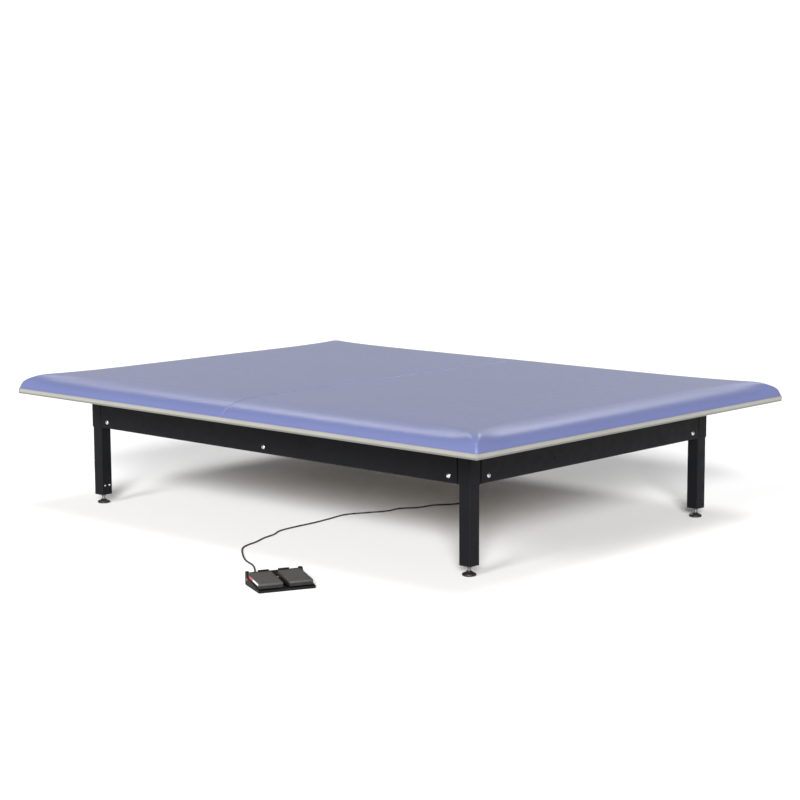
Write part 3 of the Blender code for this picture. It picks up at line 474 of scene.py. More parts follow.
pad = {
    "inset": 0.0010,  # from the trim's face
    "roll": 0.120,  # width of the rolled edge
    "lines": (124, 96),  # grid lines along and across
    "rimShare": 0.34,  # how much closer the lines stand at the rim
    "cornerRadius": 0.0060,
    "pressure": 4.0,
    "frames": 20,
    "cap": 0.0040,  # how far the filling may push the cover
    "ripple": 0.00012,
    "cornerReach": 0.095,  # how far from a corner the roll gets tighter
    "cornerFull": 2.6,
    "hipSoft": 0.030,  # how wide the rounding is where two rolls meet
    "creaseDeep": 0.0012,
    "creaseWide": 0.0075,
    "creaseLong": 0.090,
    "seamDeep": 0.0024,
    "seamWide": 0.0022,
    "weltFrom": 0.0058,  # from the seam to the folded edges beside it
    "weltWide": 0.0034,
    "weltTall": 0.0006,
    "dipDeep": 0.0011,  # the shallow dip that the seam lies in
    "dipWide": 0.030,
    "seamCuts": (0.0009, 0.0022, 0.0042, 0.0090, 0.0180),
}

trimLow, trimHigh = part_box("edge_trim")
padHalfX = trimHigh.x - pad["inset"]
padHalfY = (trimHigh.y - trimLow.y) / 2 - pad["inset"]
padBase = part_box("pad_cover")[0].z
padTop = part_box("pad_cover")[1].z


def rimStation(share, half):
    # share runs from -1 to 1 across the grid, and the lines crowd towards both rims
    inner = 1 - abs(share)
    inset = half * inner * (pad["rimShare"] + (1 - pad["rimShare"]) * inner)
    return math.copysign(half - inset, share)


def rollHeight(inset, fullness):
    # 2 gives a quarter ellipse, more gives a squarer shoulder
    if inset >= pad["roll"]:
        return 1.0
    return max(0.0, 1 - (1 - inset / pad["roll"]) ** fullness) ** (1 / 2)


def roundCorner(x, y, radius):
    overX, overY = abs(x) - (padHalfX - radius), abs(y) - (padHalfY - radius)
    if overX <= 0 or overY <= 0:
        return x, y
    pull = max(overX, overY) / math.hypot(overX, overY)
    newX, newY = padHalfX - radius + overX * pull, padHalfY - radius + overY * pull
    return math.copysign(newX, x), math.copysign(newY, y)


def padForm():
    # the outline is square to the rim, and the two rolls meet in a crease at each corner
    bm = bmesh.new()
    acrossX, acrossY = pad["lines"]
    bmesh.ops.create_grid(bm, x_segments=acrossX, y_segments=acrossY, size=1)
    for vert in bm.verts:
        x, y = rimStation(vert.co.x, padHalfX), rimStation(vert.co.y, padHalfY)
        insetX, insetY = padHalfX - abs(x), padHalfY - abs(y)
        nearCorner = math.exp(-((max(insetX, insetY) / pad["cornerReach"]) ** 2))
        depth = min(insetX, insetY)
        apart = abs(insetX - insetY)
        diagonal = apart / math.sqrt(2)
        soft = pad["hipSoft"] * min(1.0, depth / pad["hipSoft"]) + 0.0001
        softDepth = max(0.0, depth - max(0.0, soft - apart) ** 2 / (4 * soft))
        share = rollHeight(softDepth, 2 + pad["cornerFull"] * nearCorner)
        fade = max(0.0, 1 - depth / pad["creaseLong"]) * min(1.0, depth / 0.012)
        crease = pad["creaseDeep"] * math.exp(-((diagonal / pad["creaseWide"]) ** 2)) * fade
        x, y = roundCorner(x, y, pad["cornerRadius"])
        vert.co = (x, y + midY, padBase + (padTop - padBase) * share - crease)
    bmesh.ops.holes_fill(bm, edges=[edge for edge in bm.edges if edge.is_boundary], sides=0)
    bmesh.ops.recalc_face_normals(bm, faces=bm.faces)
    return bm


def inflate(mesh):
    # the foam's push on the cover, as cloth held all round its lower edge
    rest = [vert.co.copy() for vert in mesh.vertices]
    helper = bpy.data.objects.new("padCloth", mesh.copy())
    scene.collection.objects.link(helper)
    held = helper.vertex_groups.new(name="held")
    held.add([v.index for v in mesh.vertices if v.co.z < padBase + 0.0005], 1.0, "REPLACE")
    seamHold = [v.index for v in mesh.vertices if abs(v.co.x) < 0.001]
    held.add(seamHold, 0.35, "ADD")
    cloth = helper.modifiers.new("cloth", "CLOTH")
    settings = cloth.settings
    settings.quality = 4
    settings.mass = 0.4
    settings.tension_stiffness = 40
    settings.compression_stiffness = 40
    settings.shear_stiffness = 20
    settings.bending_stiffness = 2
    settings.vertex_group_mass = "held"
    settings.use_pressure = True
    settings.uniform_pressure_force = pad["pressure"]
    settings.effector_weights.gravity = 0
    cloth.collision_settings.use_collision = False
    cloth.point_cache.frame_start = 1
    cloth.point_cache.frame_end = pad["frames"]
    for step in range(1, pad["frames"] + 1):
        scene.frame_set(step)
    graph = bpy.context.evaluated_depsgraph_get()
    settled = helper.evaluated_get(graph).to_mesh()
    for vert, start, end in zip(mesh.vertices, rest, settled.vertices):
        move = end.co - start
        vert.co = start + move * (pad["cap"] / (pad["cap"] + move.length))
    helper.evaluated_get(graph).to_mesh_clear()
    bpy.data.objects.remove(helper)
    scene.frame_set(1)


def seamDip(x):
    # a narrow valley with the cover's folded edges standing a little proud beside it
    valley = math.exp(-((x / pad["seamWide"]) ** 2))
    welt = math.exp(-(((abs(x) - pad["weltFrom"]) / pad["weltWide"]) ** 2))
    wide = math.exp(-((x / pad["dipWide"]) ** 2))
    return -pad["seamDeep"] * valley + pad["weltTall"] * welt - pad["dipDeep"] * wide


def makePad():
    bm = padForm()
    mesh = bpy.data.meshes.new("vinylTop")
    bm.to_mesh(mesh)
    bm.free()
    inflate(mesh)
    bm = bmesh.new()
    bm.from_mesh(mesh)
    for offset in pad["seamCuts"]:
        for side in (-1, 1):
            cutAcross(bm, (side * offset, 0, 0), (1, 0, 0))
    bm.normal_update()
    moves = []
    for vert in bm.verts:
        grip = min(1.0, max(0.0, (vert.co.z - padBase) / 0.006))
        wave = noise.noise(Vector((vert.co.x * 3.1, vert.co.y * 3.1, 4))) * pad["ripple"] * 2.5
        wave += noise.noise(Vector((vert.co.x * 9, vert.co.y * 9, 9))) * pad["ripple"]
        moves.append(grip * (seamDip(vert.co.x) + wave))
    for vert, move in zip(bm.verts, moves):
        if vert.co.z > padBase + 0.0004:
            vert.co += vert.normal * move
    bmesh.ops.recalc_face_normals(bm, faces=bm.faces)
    tight = bm.edges.layers.float.new("crease_edge")  # the cover is pulled tight under its lower edge
    for edge in bm.edges:
        if all(vert.co.z < padBase + 0.0003 for vert in edge.verts):
            edge[tight] = 1.0
    piece = addPiece("vinylTop", bm, "top", vinylFinish(), ("pad_cover", "pad_foam"), 75, False)
    smoother = piece.modifiers.new("smoother", "SUBSURF")
    smoother.levels = smoother.render_levels = 1
    smoother.boundary_smooth = "PRESERVE_CORNERS"
    print("top upholstered,", len(piece.data.vertices), "points")
    return piece


vinyl = {
    "colour": (0.100, 0.118, 0.244),
    "pale": (0.106, 0.124, 0.252),
    "roughness": 0.34,
    "pebble": 620,
    "pebbleDeep": 0.000035,
}


def vinylFinish():
    made, tree, shader, place = startFinish("blueVinyl", vinyl["colour"], vinyl["roughness"])
    drift = cloudy(tree, place, 2.2, 3)
    fine = cloudy(tree, place, 38, 4)
    base = ramped(tree, drift, ((0.3, vinyl["colour"]), (0.7, vinyl["pale"])))
    dusk = tuple(c * 0.96 for c in vinyl["colour"])
    marked = mixed(tree, remapped(tree, fine, 0.45, 0.75, 0.0, 0.2), base, dusk)
    tree.links.new(marked, shader.inputs["Base Color"])
    sheen = remapped(tree, fine, 0.3, 0.7, vinyl["roughness"] - 0.01, vinyl["roughness"] + 0.015)
    tree.links.new(sheen, shader.inputs["Roughness"])
    pebble = pebbled(tree, place, vinyl["pebble"], "SMOOTH_F1")
    crackle = cloudy(tree, place, vinyl["pebble"] * 1.7, 3)
    raised(tree, shader, ((pebble, vinyl["pebbleDeep"]), (crackle, vinyl["pebbleDeep"] * 0.4)))
    return made


makePad()


# Edge moulding round the board

trim = {
    "colour": (0.232, 0.230, 0.208),
    "lipDark": 0.55,  # painted shade: how dark the lower lip is painted against the face's colour
    "lipLow": 0.0045,  # the painted shade ends between these heights
    "lipHigh": 0.0085,
    "thick": 0.0035,
    "barb": 0.008,
    "barbThick": 0.002,
    "barbShort": 0.012,  # from the length's end
    "gap": 0.0028,  # between two lengths
    "cornerRound": 0.0026,  # the end lengths' outer corners
    "endRound": 0.0004,
    "roundCuts": (0.06, 0.22, 0.5, 1.0),
}


def trimFinish():
    made, tree, shader, place = startFinish("trimPlastic", trim["colour"], 0.34)
    pale = tuple(min(1, c * 1.08) for c in trim["colour"])
    clouded = ramped(tree, cloudy(tree, place, 9, 4), ((0.35, trim["colour"]), (0.65, pale)))
    # painted shade: the lower lip darker than the face above it, where the face turns down away from the
    # light
    paintedLipShade = tuple(c * trim["lipDark"] for c in trim["colour"])
    apart = tree.nodes.new("ShaderNodeSeparateXYZ")
    tree.links.new(place, apart.inputs["Vector"])
    lipLow, lipHigh = trimLow.z + trim["lipLow"], trimLow.z + trim["lipHigh"]
    upFace = remapped(tree, apart.outputs["Z"], lipLow, lipHigh, 0.0, 1.0)
    tree.links.new(mixed(tree, upFace, paintedLipShade, clouded), shader.inputs["Base Color"])
    drawn = cloudy(tree, stretched(tree, place, (1, 1, 26)), 60, 2)  # lines along the moulding
    tree.links.new(remapped(tree, drawn, 0.3, 0.7, 0.28, 0.42), shader.inputs["Roughness"])
    raised(tree, shader, ((drawn, 0.00003),))
    return made


def makeTrimLength(name, facing, out, long, roundness, replaced):
    # made along X with its outer face towards -Y, then turned to face the way it faces
    low, high = trimLow.z, trimHigh.z
    middle = (deckLow.z + deckHigh.z) / 2  # the barb goes into the middle of the board's edge
    thick, half = trim["thick"], trim["barbThick"] / 2
    profile = (  # distance in from the outer face, height
        (thick, low), (0.0030, low), (0.0026, low + 0.0008), (0.0021, low + 0.0028), (0.0014, low + 0.0050),
        (0.0006, low + 0.0068), (0.0001, low + 0.0085), (0.0000, middle + 0.0020), (0.0001, high - 0.0056),
        (0.0006, high - 0.0034), (0.0013, high - 0.0018), (0.0022, high - 0.0007), (thick, high),
    )
    bm = bmesh.new()
    section = [bm.verts.new((-long / 2, inset, z)) for inset, z in profile]
    lines = [bm.edges.new(pair) for pair in zip(section, section[1:] + section[:1])]
    made = bmesh.ops.extrude_edge_only(bm, edges=lines)["geom"]
    fresh = [item for item in made if isinstance(item, bmesh.types.BMVert)]
    bmesh.ops.translate(bm, verts=fresh, vec=(long, 0, 0))
    bmesh.ops.holes_fill(bm, edges=bm.edges[:], sides=0)
    for share in trim["roundCuts"]:
        for side in (-1, 1):
            cutAcross(bm, (side * (long / 2 - roundness * share), 0, 0), (1, 0, 0), 0.000001)
    for vert in bm.verts:
        toEnd = max(0.0, long / 2 - abs(vert.co.x))
        if toEnd < roundness:
            swing = roundness - math.sqrt(roundness**2 - (roundness - toEnd) ** 2)
            vert.co.y += swing * (1 - vert.co.y / thick)
    reach = long / 2 - trim["barbShort"]
    block(bm, (-reach, thick - 0.0005, middle - half), (reach, thick + trim["barb"], middle + half))
    bmesh.ops.recalc_face_normals(bm, faces=bm.faces)
    place = Matrix.Translation((0, midY, 0)) @ Matrix.Rotation(math.radians(facing), 4, "Z")
    bmesh.ops.transform(bm, matrix=place @ Matrix.Translation((0, -out, 0)), verts=bm.verts)
    return addPiece(name, bm, "top", trimWhite, replaced, 50)


trimWhite = trimFinish()
halfLong, halfWide = trimHigh.x, (trimHigh.y - trimLow.y) / 2
between = 2 * (halfLong - trim["thick"] - trim["gap"])
makeTrimLength("trimFront", 0, halfWide, between, trim["endRound"], ("edge_trim",))
makeTrimLength("trimRight", 90, halfLong, 2 * halfWide, trim["cornerRound"], ())
makeTrimLength("trimBack", 180, halfWide, between, trim["endRound"], ())
makeTrimLength("trimLeft", 270, halfLong, 2 * halfWide, trim["cornerRound"], ())
print("edge moulding fitted")


# Rails, posts and legs

rail = {
    "wall": 0.003,
    "flange": 0.038,
    "bend": 0.0045,  # outside radius of the folded edges
}


def makeRail(name, node, heading):
    # heading is the way the web faces
    low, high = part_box(node)
    alongX = abs(heading[1]) > 0.5
    length = high.x - low.x if alongX else high.y - low.y
    middle = (low + high) / 2
    bm = bmesh.new()
    verts = block(bm, (-length / 2, 0, low.z), (length / 2, rail["flange"], high.z))
    webEdges = [e for e in edgesOf(verts) if all(abs(v.co.y) < 0.0001 for v in e.verts)]
    folds = [e for e in webEdges if abs(e.verts[0].co.x - e.verts[1].co.x) > 0.1]
    spare = [f for f in bm.faces if f.normal.y > 0.5 or abs(f.normal.x) > 0.5]
    bmesh.ops.delete(bm, geom=spare, context="FACES_ONLY")
    rounded(bm, folds, rail["bend"], 5)
    bmesh.ops.recalc_face_normals(bm, faces=bm.faces)
    if max(bm.faces, key=lambda f: f.calc_area()).normal.y > 0:
        bmesh.ops.reverse_faces(bm, faces=bm.faces)
    bmesh.ops.solidify(bm, geom=bm.faces[:], thickness=rail["wall"])
    outward(bm)
    ends = [e for e in bm.edges if all(abs(abs(v.co.x) - length / 2) < 0.0001 for v in e.verts)]
    rounded(bm, ends, 0.0005, 2)
    turn = math.atan2(heading[1], heading[0]) + math.pi / 2
    if alongX:
        web = (middle.x, low.y if heading[1] < 0 else high.y, 0)
    else:
        web = (low.x if heading[0] < 0 else high.x, middle.y, 0)
    bmesh.ops.transform(bm, matrix=Matrix.Translation(web) @ Matrix.Rotation(turn, 4, "Z"), verts=bm.verts)
    return addPiece(name, bm, "top", blackFrame, (node,), 35)


railHeadings = {
    "side_rail_front": (0, -1),
    "side_rail_back": (0, 1),
    "end_rail_left": (-1, 0),
    "end_rail_right": (1, 0),
}
for node, heading in railHeadings.items():
    words = node.split("_")
    makeRail(words[0] + words[1].title() + words[2].title(), node, heading)
refined("crossMember", "cross_member", "top", blackFrame, 0.0005, 60)

leg = {
    "corner": 0.0046,
    "wall": 0.0021,
    "innerCorner": 0.0030,
    "innerWall": 0.002,
    "plateInset": 0.0018,  # the plate that closes the inner leg's lower end
    "plateLift": 0.0003,
    "plateTall": 0.006,
    "plateRound": 0.002,
}


def squareTube(low, high, corner, wall, segments=5):
    bm = bmesh.new()
    verts = block(bm, low, high)
    uprights = uprightEdges(verts)
    bmesh.ops.delete(bm, geom=[f for f in bm.faces if abs(f.normal.z) > 0.5], context="FACES_ONLY")
    rounded(bm, uprights, corner, segments)
    bmesh.ops.recalc_face_normals(bm, faces=bm.faces)
    side = max(bm.faces, key=lambda f: f.calc_area())
    middle = (Vector(low) + Vector(high)) / 2
    if side.normal.dot(side.calc_center_median() - middle) < 0:
        bmesh.ops.reverse_faces(bm, faces=bm.faces)
    bmesh.ops.solidify(bm, geom=bm.faces[:], thickness=wall)
    outward(bm)
    return bm


def camel(text):
    words = text.split("_")
    return words[0] + "".join(word.title() for word in words[1:])


def makeLeg(corner):
    low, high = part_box("leg_tube_" + corner)
    bm = squareTube(low, high, leg["corner"], leg["wall"])
    addPiece(camel("leg_tube_" + corner), bm, "top", blackFrame, ("leg_tube_" + corner,), 35)
    low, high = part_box("inner_leg_" + corner)
    bm = squareTube(low, high, leg["innerCorner"], leg["innerWall"], 4)
    inset = leg["plateInset"]
    plateLow = (low.x + inset, low.y + inset, low.z + leg["plateLift"])
    plate = block(bm, plateLow, (high.x - inset, high.y - inset, low.z + leg["plateTall"]))
    rounded(bm, uprightEdges(plate, 0.004), leg["plateRound"], 2)
    addPiece(camel("inner_leg_" + corner), bm, "stand", platedSteel, ("inner_leg_" + corner,), 35)
    kinds = (("corner_post_", blackFrame, "frame"), ("glide_bush_", blackPlastic, "plastic"))
    for node, finish, slotName in kinds:
        refined(camel(node + corner), node + corner, "top", finish, 0.0004, 60, 50)


for corner in cornerSides:
    makeLeg(corner)
print("frame and legs made")


# Bolts, screws and the plug in the end rail

bolt = {"head": 0.00875, "tall": 0.005, "socket": 0.0029, "socketDeep": 0.0026, "shank": 0.004, "steps": 24}


def hexReach(angle, across):
    # distance from the middle of a hexagon to its side at this angle
    return across / math.cos((angle % (math.pi / 3)) - math.pi / 6) * math.cos(math.pi / 6)


def sinkSocket(bm, verts, radius, deep, top):
    # the dome's inmost ring becomes a hexagon, and goes down as the key's socket
    ring = [v for v in verts if v.is_valid and abs(v.co.z - top) < 0.0001 and v.co.xy.length < radius * 1.3]
    for vert in ring:
        reach = hexReach(math.atan2(vert.co.y, vert.co.x), radius)
        vert.co.x, vert.co.y = vert.co.xy.normalized() * reach
    rim = [e for e in edgesOf(ring) if e.is_boundary]
    made = bmesh.ops.extrude_edge_only(bm, edges=rim)["geom"]
    fresh = [item for item in made if isinstance(item, bmesh.types.BMVert)]
    bmesh.ops.translate(bm, verts=fresh, vec=(0, 0, -deep))
    bmesh.ops.holes_fill(bm, edges=[e for e in edgesOf(fresh) if e.is_boundary], sides=0)


def buttonHead(bm, place, head, tall, socket, deep, shank, shankLong, steps):
    profile = (
        (shank, -shankLong), (shank, 0), (head, 0), (head, tall * 0.16), (head * 0.97, tall * 0.30),
        (head * 0.88, tall * 0.56), (head * 0.74, tall * 0.78), (head * 0.58, tall * 0.92),
        (head * 0.44, tall * 0.985), (socket * 1.06, tall),
    )
    before = set(bm.verts)
    made = turnedOn(bm, profile, steps, close=False)
    sinkSocket(bm, made, socket * 1.06, deep, tall)
    made = [v for v in bm.verts if v not in before]
    bmesh.ops.holes_fill(bm, edges=[e for e in edgesOf(made) if e.is_boundary], sides=0)
    bmesh.ops.transform(bm, matrix=place, verts=made)


def makeBolt(node, heading):
    low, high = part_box(node)
    middle = (low + high) / 2
    facing = Vector((*heading, 0))
    reach = (high - low).dot(Vector((abs(heading[0]), abs(heading[1]), 0)))
    seat = middle + facing * (reach / 2 - bolt["tall"])
    bm = bmesh.new()
    buttonHead(
        bm, axisPlace(seat, facing), bolt["head"], bolt["tall"], bolt["socket"], bolt["socketDeep"],
        bolt["shank"], reach - bolt["tall"] - 0.0001, bolt["steps"],
    )
    outward(bm)
    return addPiece(camel(node), bm, "top", zincPlate, (node,), 40, False)


for railNode, heading in railHeadings.items():
    for number in range(1, 4 if railNode.startswith("side") else 3):
        makeBolt(f"{railNode}_bolt_{number}", heading)

legScrew = {"height": 0.075, "apart": 0.022, "head": 0.0042, "tall": 0.0018}


def makeLegScrews(corner):
    # two small screws through the outer tube hold the glide bush
    sideX = cornerSides[corner][0]
    low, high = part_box("leg_tube_" + corner)
    middle = (low + high) / 2
    face = low.x if sideX > 0 else high.x
    for number, shift in enumerate((-0.5, 0.5), 1):
        seat = Vector((face, middle.y + shift * legScrew["apart"], legScrew["height"]))
        bm = bmesh.new()
        profile = (
            (legScrew["head"], -0.0008), (legScrew["head"], legScrew["tall"] * 0.3),
            (legScrew["head"] * 0.8, legScrew["tall"] * 0.8), (legScrew["head"] * 0.5, legScrew["tall"]),
            (0.0012, legScrew["tall"]), (0.0009, legScrew["tall"] - 0.0009),
        )
        turnedOn(bm, profile, 16, axisPlace(seat, (-sideX, 0, 0)))
        outward(bm)
        addPiece(f"{camel('leg_screw_' + corner)}{number}", bm, "top", zincPlate, (), 40, False)


for corner in cornerSides:
    makeLegScrews(corner)

plug = {"place": (-0.243, 0.352), "radius": 0.0075, "tall": 0.0013}


def makePlug():
    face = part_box("end_rail_right")[1].x
    bm = bmesh.new()
    profile = (
        (plug["radius"] - 0.001, -0.002), (plug["radius"], -0.0002), (plug["radius"], plug["tall"] * 0.3),
        (plug["radius"] * 0.9, plug["tall"] * 0.8), (plug["radius"] * 0.6, plug["tall"]),
        (plug["radius"] * 0.2, plug["tall"]),
    )
    turnedOn(bm, profile, 20, axisPlace((face, midY + plug["place"][0], plug["place"][1]), (1, 0, 0)))
    outward(bm)
    return addPiece("railPlug", bm, "top", blackFrame, (), 40, False)


makePlug()
print("bolts and screws driven")


# Levelling feet

foot = {
    "disc": 0.025,
    "hexAcross": 0.017,
    "hexTall": 0.008,
    "gap": 0.0003,  # between the hexagon and the inner leg
    "stud": 0.005,
    "threadDeep": 0.0007,
    "pitch": 0.0015,
    "steps": 28,
}


def makeFoot(corner):
    node = "levelling_foot_" + corner
    low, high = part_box(node)
    spot = Vector(((low.x + high.x) / 2, (low.y + high.y) / 2, 0))
    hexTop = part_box("inner_leg_" + corner)[0].z - foot["gap"]
    bm = bmesh.new()
    disc = (
        (0.0195, 0.0), (0.0232, 0.0010), (0.0247, 0.0030), (foot["disc"], 0.0052), (0.0246, 0.0072),
        (0.0228, 0.0090), (0.0188, 0.0108), (0.0142, 0.0124), (0.0118, 0.0140), (0.0108, 0.0158),
        (0.0092, 0.0168), (0.0040, 0.0168),
    )
    turnedOn(bm, disc, foot["steps"], Matrix.Translation(spot))
    outward(bm)
    addPiece(camel("foot_disc_" + corner), bm, "foot_" + corner, blackPlastic, (node,), 35, False)
    bm = bmesh.new()
    # neck, hexagon and threaded stud are one steel piece
    neck = [(0.0060, 0.0160), (0.0066, 0.0185), (0.0060, 0.0225), (0.0056, 0.0290)]
    turnedOn(bm, neck, 20, Matrix.Translation(spot))
    radius = foot["hexAcross"] / math.sqrt(3)
    hexagon = bmesh.ops.create_cone(
        bm, cap_ends=True, segments=6, radius1=radius, radius2=radius, depth=foot["hexTall"],
        matrix=Matrix.Translation(spot + Vector((0, 0, hexTop - foot["hexTall"] / 2))),
    )["verts"]
    rounded(bm, edgesOf(hexagon), 0.0005, 2)
    core = foot["stud"] - foot["threadDeep"]
    stud = [(core, hexTop - 0.001), (core, high.z - 0.001), (core - 0.001, high.z)]
    turnedOn(bm, stud, 20, Matrix.Translation(spot))
    half = foot["pitch"] / 2
    start = hexTop + 0.0004
    turns = int((high.z - 0.001 - start) / foot["pitch"]) - 1
    threadForm = ((core - 0.0002, 0), (foot["stud"], half), (core - 0.0002, 2 * half))
    ridge = [bm.verts.new(spot + Vector((radius, 0, start + z))) for radius, z in threadForm]
    lines = [bm.edges.new(pair) for pair in zip(ridge, ridge[1:] + ridge[:1])]
    flank = bm.faces.new(ridge)
    bmesh.ops.spin(
        bm, geom=ridge + lines + [flank], cent=spot, axis=(0, 0, 1), dvec=(0, 0, foot["pitch"] / 16),
        angle=2 * math.pi * turns, steps=16 * turns, use_merge=False, use_duplicate=False,
    )
    bmesh.ops.recalc_face_normals(bm, faces=bm.faces)
    addPiece(camel("foot_stud_" + corner), bm, "foot_" + corner, darkSteel, (), 30, False)


for corner in cornerSides:
    makeFoot(corner)
print("feet made")


# Foot control: tray, rod, two pedals with tread pads

pedal = {
    "width": 0.200,
    "depth": 0.146,
    "cheek": 0.004,
    "between": 0.022,
    "front": 0.012,  # from the tray's front to the pedals
    "rear": 0.0095,
    "under": 0.010,
    "frontTop": 0.0290,
    "rearTop": 0.0410,
    "plateTall": 0.0085,
    "split": 0.0012,
    "treadRound": 0.0026,
    "cell": 0.0056,
    "cellRaise": 0.00055,
}


def wedge(bm, sideLow, sideHigh, front, rear, frontZ, rearZ):
    # a block whose lower and upper faces slope from front to rear, each z a (low, high) pair
    verts = block(bm, (sideLow, front, 0), (sideHigh, rear, 1))
    for vert in verts:
        pair = frontZ if abs(vert.co.y - front) < abs(vert.co.y - rear) else rearZ
        vert.co.z = pair[1] if vert.co.z > 0.5 else pair[0]
    return verts


def treadFinish():
    made, tree, shader, place = startFinish("treadRubber", (0.040, 0.039, 0.037), 0.62)
    mottle = cloudy(tree, place, 260, 5, 0.7)
    greys = ((0.32, (0.018, 0.018, 0.017)), (0.55, (0.046, 0.045, 0.042)), (0.75, (0.095, 0.092, 0.086)))
    tree.links.new(ramped(tree, mottle, greys), shader.inputs["Base Color"])
    tree.links.new(remapped(tree, mottle, 0.3, 0.7, 0.52, 0.74), shader.inputs["Roughness"])
    raised(tree, shader, ((cloudy(tree, place, 900, 3), 0.00018),))
    return made


def makePedal(side, word, tread):
    half = pedal["width"] / 2 - pedal["cheek"] - 0.001
    sideLow, sideHigh = sorted((side * pedal["between"] / 2, side * half))
    front, rear = -pedal["depth"] / 2 + pedal["front"], pedal["depth"] / 2 - pedal["rear"]
    under, split = pedal["under"], pedal["split"]
    plateFront = under + pedal["plateTall"]
    plateRear = plateFront + 0.0085
    bm = bmesh.new()
    plate = wedge(bm, sideLow, sideHigh, front + 0.0008, rear, (under, plateFront), (under, plateRear))
    rounded(bm, edgesOf(plate), 0.0011, 3)
    # a narrower core shows as the dark line under the tread
    core = wedge(
        bm, sideLow + 0.0012, sideHigh - 0.0012, front + 0.0020, rear - 0.001,
        (plateFront - 0.001, plateFront + split + 0.001), (plateRear - 0.001, plateRear + split + 0.001),
    )
    rounded(bm, edgesOf(core), 0.0003, 1)
    bmesh.ops.transform(bm, matrix=unitPlace, verts=bm.verts)
    bmesh.ops.recalc_face_normals(bm, faces=bm.faces)
    body = "pedal_" + word.lower()
    addPiece("pedalPlate" + word, bm, body, blackPlastic, (body,))

    bm = bmesh.new()
    frontZ = (plateFront + split, pedal["frontTop"] - pedal["cellRaise"])
    rearZ = (plateRear + split, pedal["rearTop"] - pedal["cellRaise"])
    top = wedge(bm, sideLow, sideHigh, front, rear, frontZ, rearZ)
    rounded(bm, edgesOf(top), pedal["treadRound"], 4)
    bm.normal_update()
    crown = max(bm.faces, key=lambda f: f.calc_area() * (f.normal.z > 0.5))
    bmesh.ops.inset_region(bm, faces=[crown], thickness=0.0022, use_even_offset=True)
    spanX = int((sideHigh - sideLow) / pedal["cell"])
    spanY = int((rear - front) / pedal["cell"])
    crosswise = [e for e in crown.edges if abs(e.verts[0].co.x - e.verts[1].co.x) > 0.05]
    normal = crown.normal.copy()
    level = crown.calc_center_median().dot(normal)

    def onCrown(face):
        flat = face.normal.dot(normal) > 0.999
        return flat and len(face.verts) == 4 and abs(face.calc_center_median().dot(normal) - level) < 0.0002

    bmesh.ops.subdivide_edges(bm, edges=crosswise, cuts=spanX, use_grid_fill=True)
    strips = [f for f in bm.faces if onCrown(f) and f.calc_area() > 0.00005]
    long = list({e for f in strips for e in f.edges if abs(e.verts[0].co.y - e.verts[1].co.y) > 0.05})
    bmesh.ops.subdivide_edges(bm, edges=long, cuts=spanY, use_grid_fill=True)
    bm.normal_update()
    limit = 1.4 * ((sideHigh - sideLow) / (spanX + 1)) * ((rear - front) / (spanY + 1))
    cells = [f for f in bm.faces if onCrown(f) and limit / 3 < f.calc_area() < limit]
    bmesh.ops.inset_individual(bm, faces=cells, thickness=0.0007, use_even_offset=True)
    bmesh.ops.inset_individual(bm, faces=cells, thickness=0.0005, use_even_offset=True)
    raisedVerts = list({v for f in cells for v in f.verts})
    bmesh.ops.translate(bm, verts=raisedVerts, vec=normal * pedal["cellRaise"])
    bmesh.ops.transform(bm, matrix=unitPlace, verts=bm.verts)
    bmesh.ops.recalc_face_normals(bm, faces=bm.faces)
    print("tread cells", len(cells), "on", word)
    return addPiece("pedalTread" + word, bm, body, tread, (), 35, False)


label = {
    "proud": 0.0005,
    "sunk": 0.0002,
    "front": -0.050,
    "rear": 0.044,
    "frontZ": (0.0200, 0.0275),
    "rearZ": (0.0260, 0.0350),
}


def makeLabel():
    # a blank two-colour strip on the left pedal's outer side
    half = pedal["width"] / 2 - pedal["cheek"] - 0.001
    made, tree, shader, place = startFinish("blankLabel", (0.8, 0.8, 0.78), 0.4)
    spot = unitPlace @ Vector((-half, 0.004, 0))
    along = unitPlace.to_3x3() @ Vector((0, 1, 0))
    mapping = tree.nodes.new("ShaderNodeMapping")
    mapping.inputs["Rotation"].default_value = (0, 0, -cord["unitTurn"])
    mapping.inputs["Location"].default_value = (0, -spot.dot(along), 0)
    tree.links.new(place, mapping.inputs["Vector"])
    split = tree.nodes.new("ShaderNodeSeparateXYZ")
    tree.links.new(mapping.outputs["Vector"], split.inputs["Vector"])
    where = remapped(tree, split.outputs["Y"], -0.003, 0.003, 0.0, 1.0)
    printed = ramped(tree, where, ((0.45, (0.72, 0.71, 0.68)), (0.55, (0.55, 0.045, 0.085))))
    smudge = remapped(tree, cloudy(tree, place, 220, 4), 0.45, 0.8, 0.0, 0.5)
    tree.links.new(mixed(tree, smudge, printed, (0.45, 0.40, 0.38)), shader.inputs["Base Color"])
    bm = bmesh.new()
    outer, inner = -half - label["proud"], -half + label["sunk"]
    verts = wedge(bm, outer, inner, label["front"], label["rear"], label["frontZ"], label["rearZ"])
    rounded(bm, edgesOf(verts), 0.00015, 1)
    bmesh.ops.transform(bm, matrix=unitPlace, verts=bm.verts)
    bmesh.ops.recalc_face_normals(bm, faces=bm.faces)
    return addPiece("pedalLabel", bm, "pedal_left", made)


tread = treadFinish()
makePedal(-1, "Left", tread)
makePedal(1, "Right", tread)
makeLabel()
refined("pedalTray", "pedal_base", "stand", trayPaint, 0.0007, 50)
refined("pedalRod", "pedal_rod", "stand", platedSteel, 0.0004, 60, 45)
print("foot control made")


# Control box and inlet under the deck

box = {
    "seam": 0.020,
    "seamCuts": (0, 0.0007, 0.0014, 0.0021),
    "seamDeep": 0.0006,
    "screwInset": 0.010,
    "screwHead": 0.0035,
}


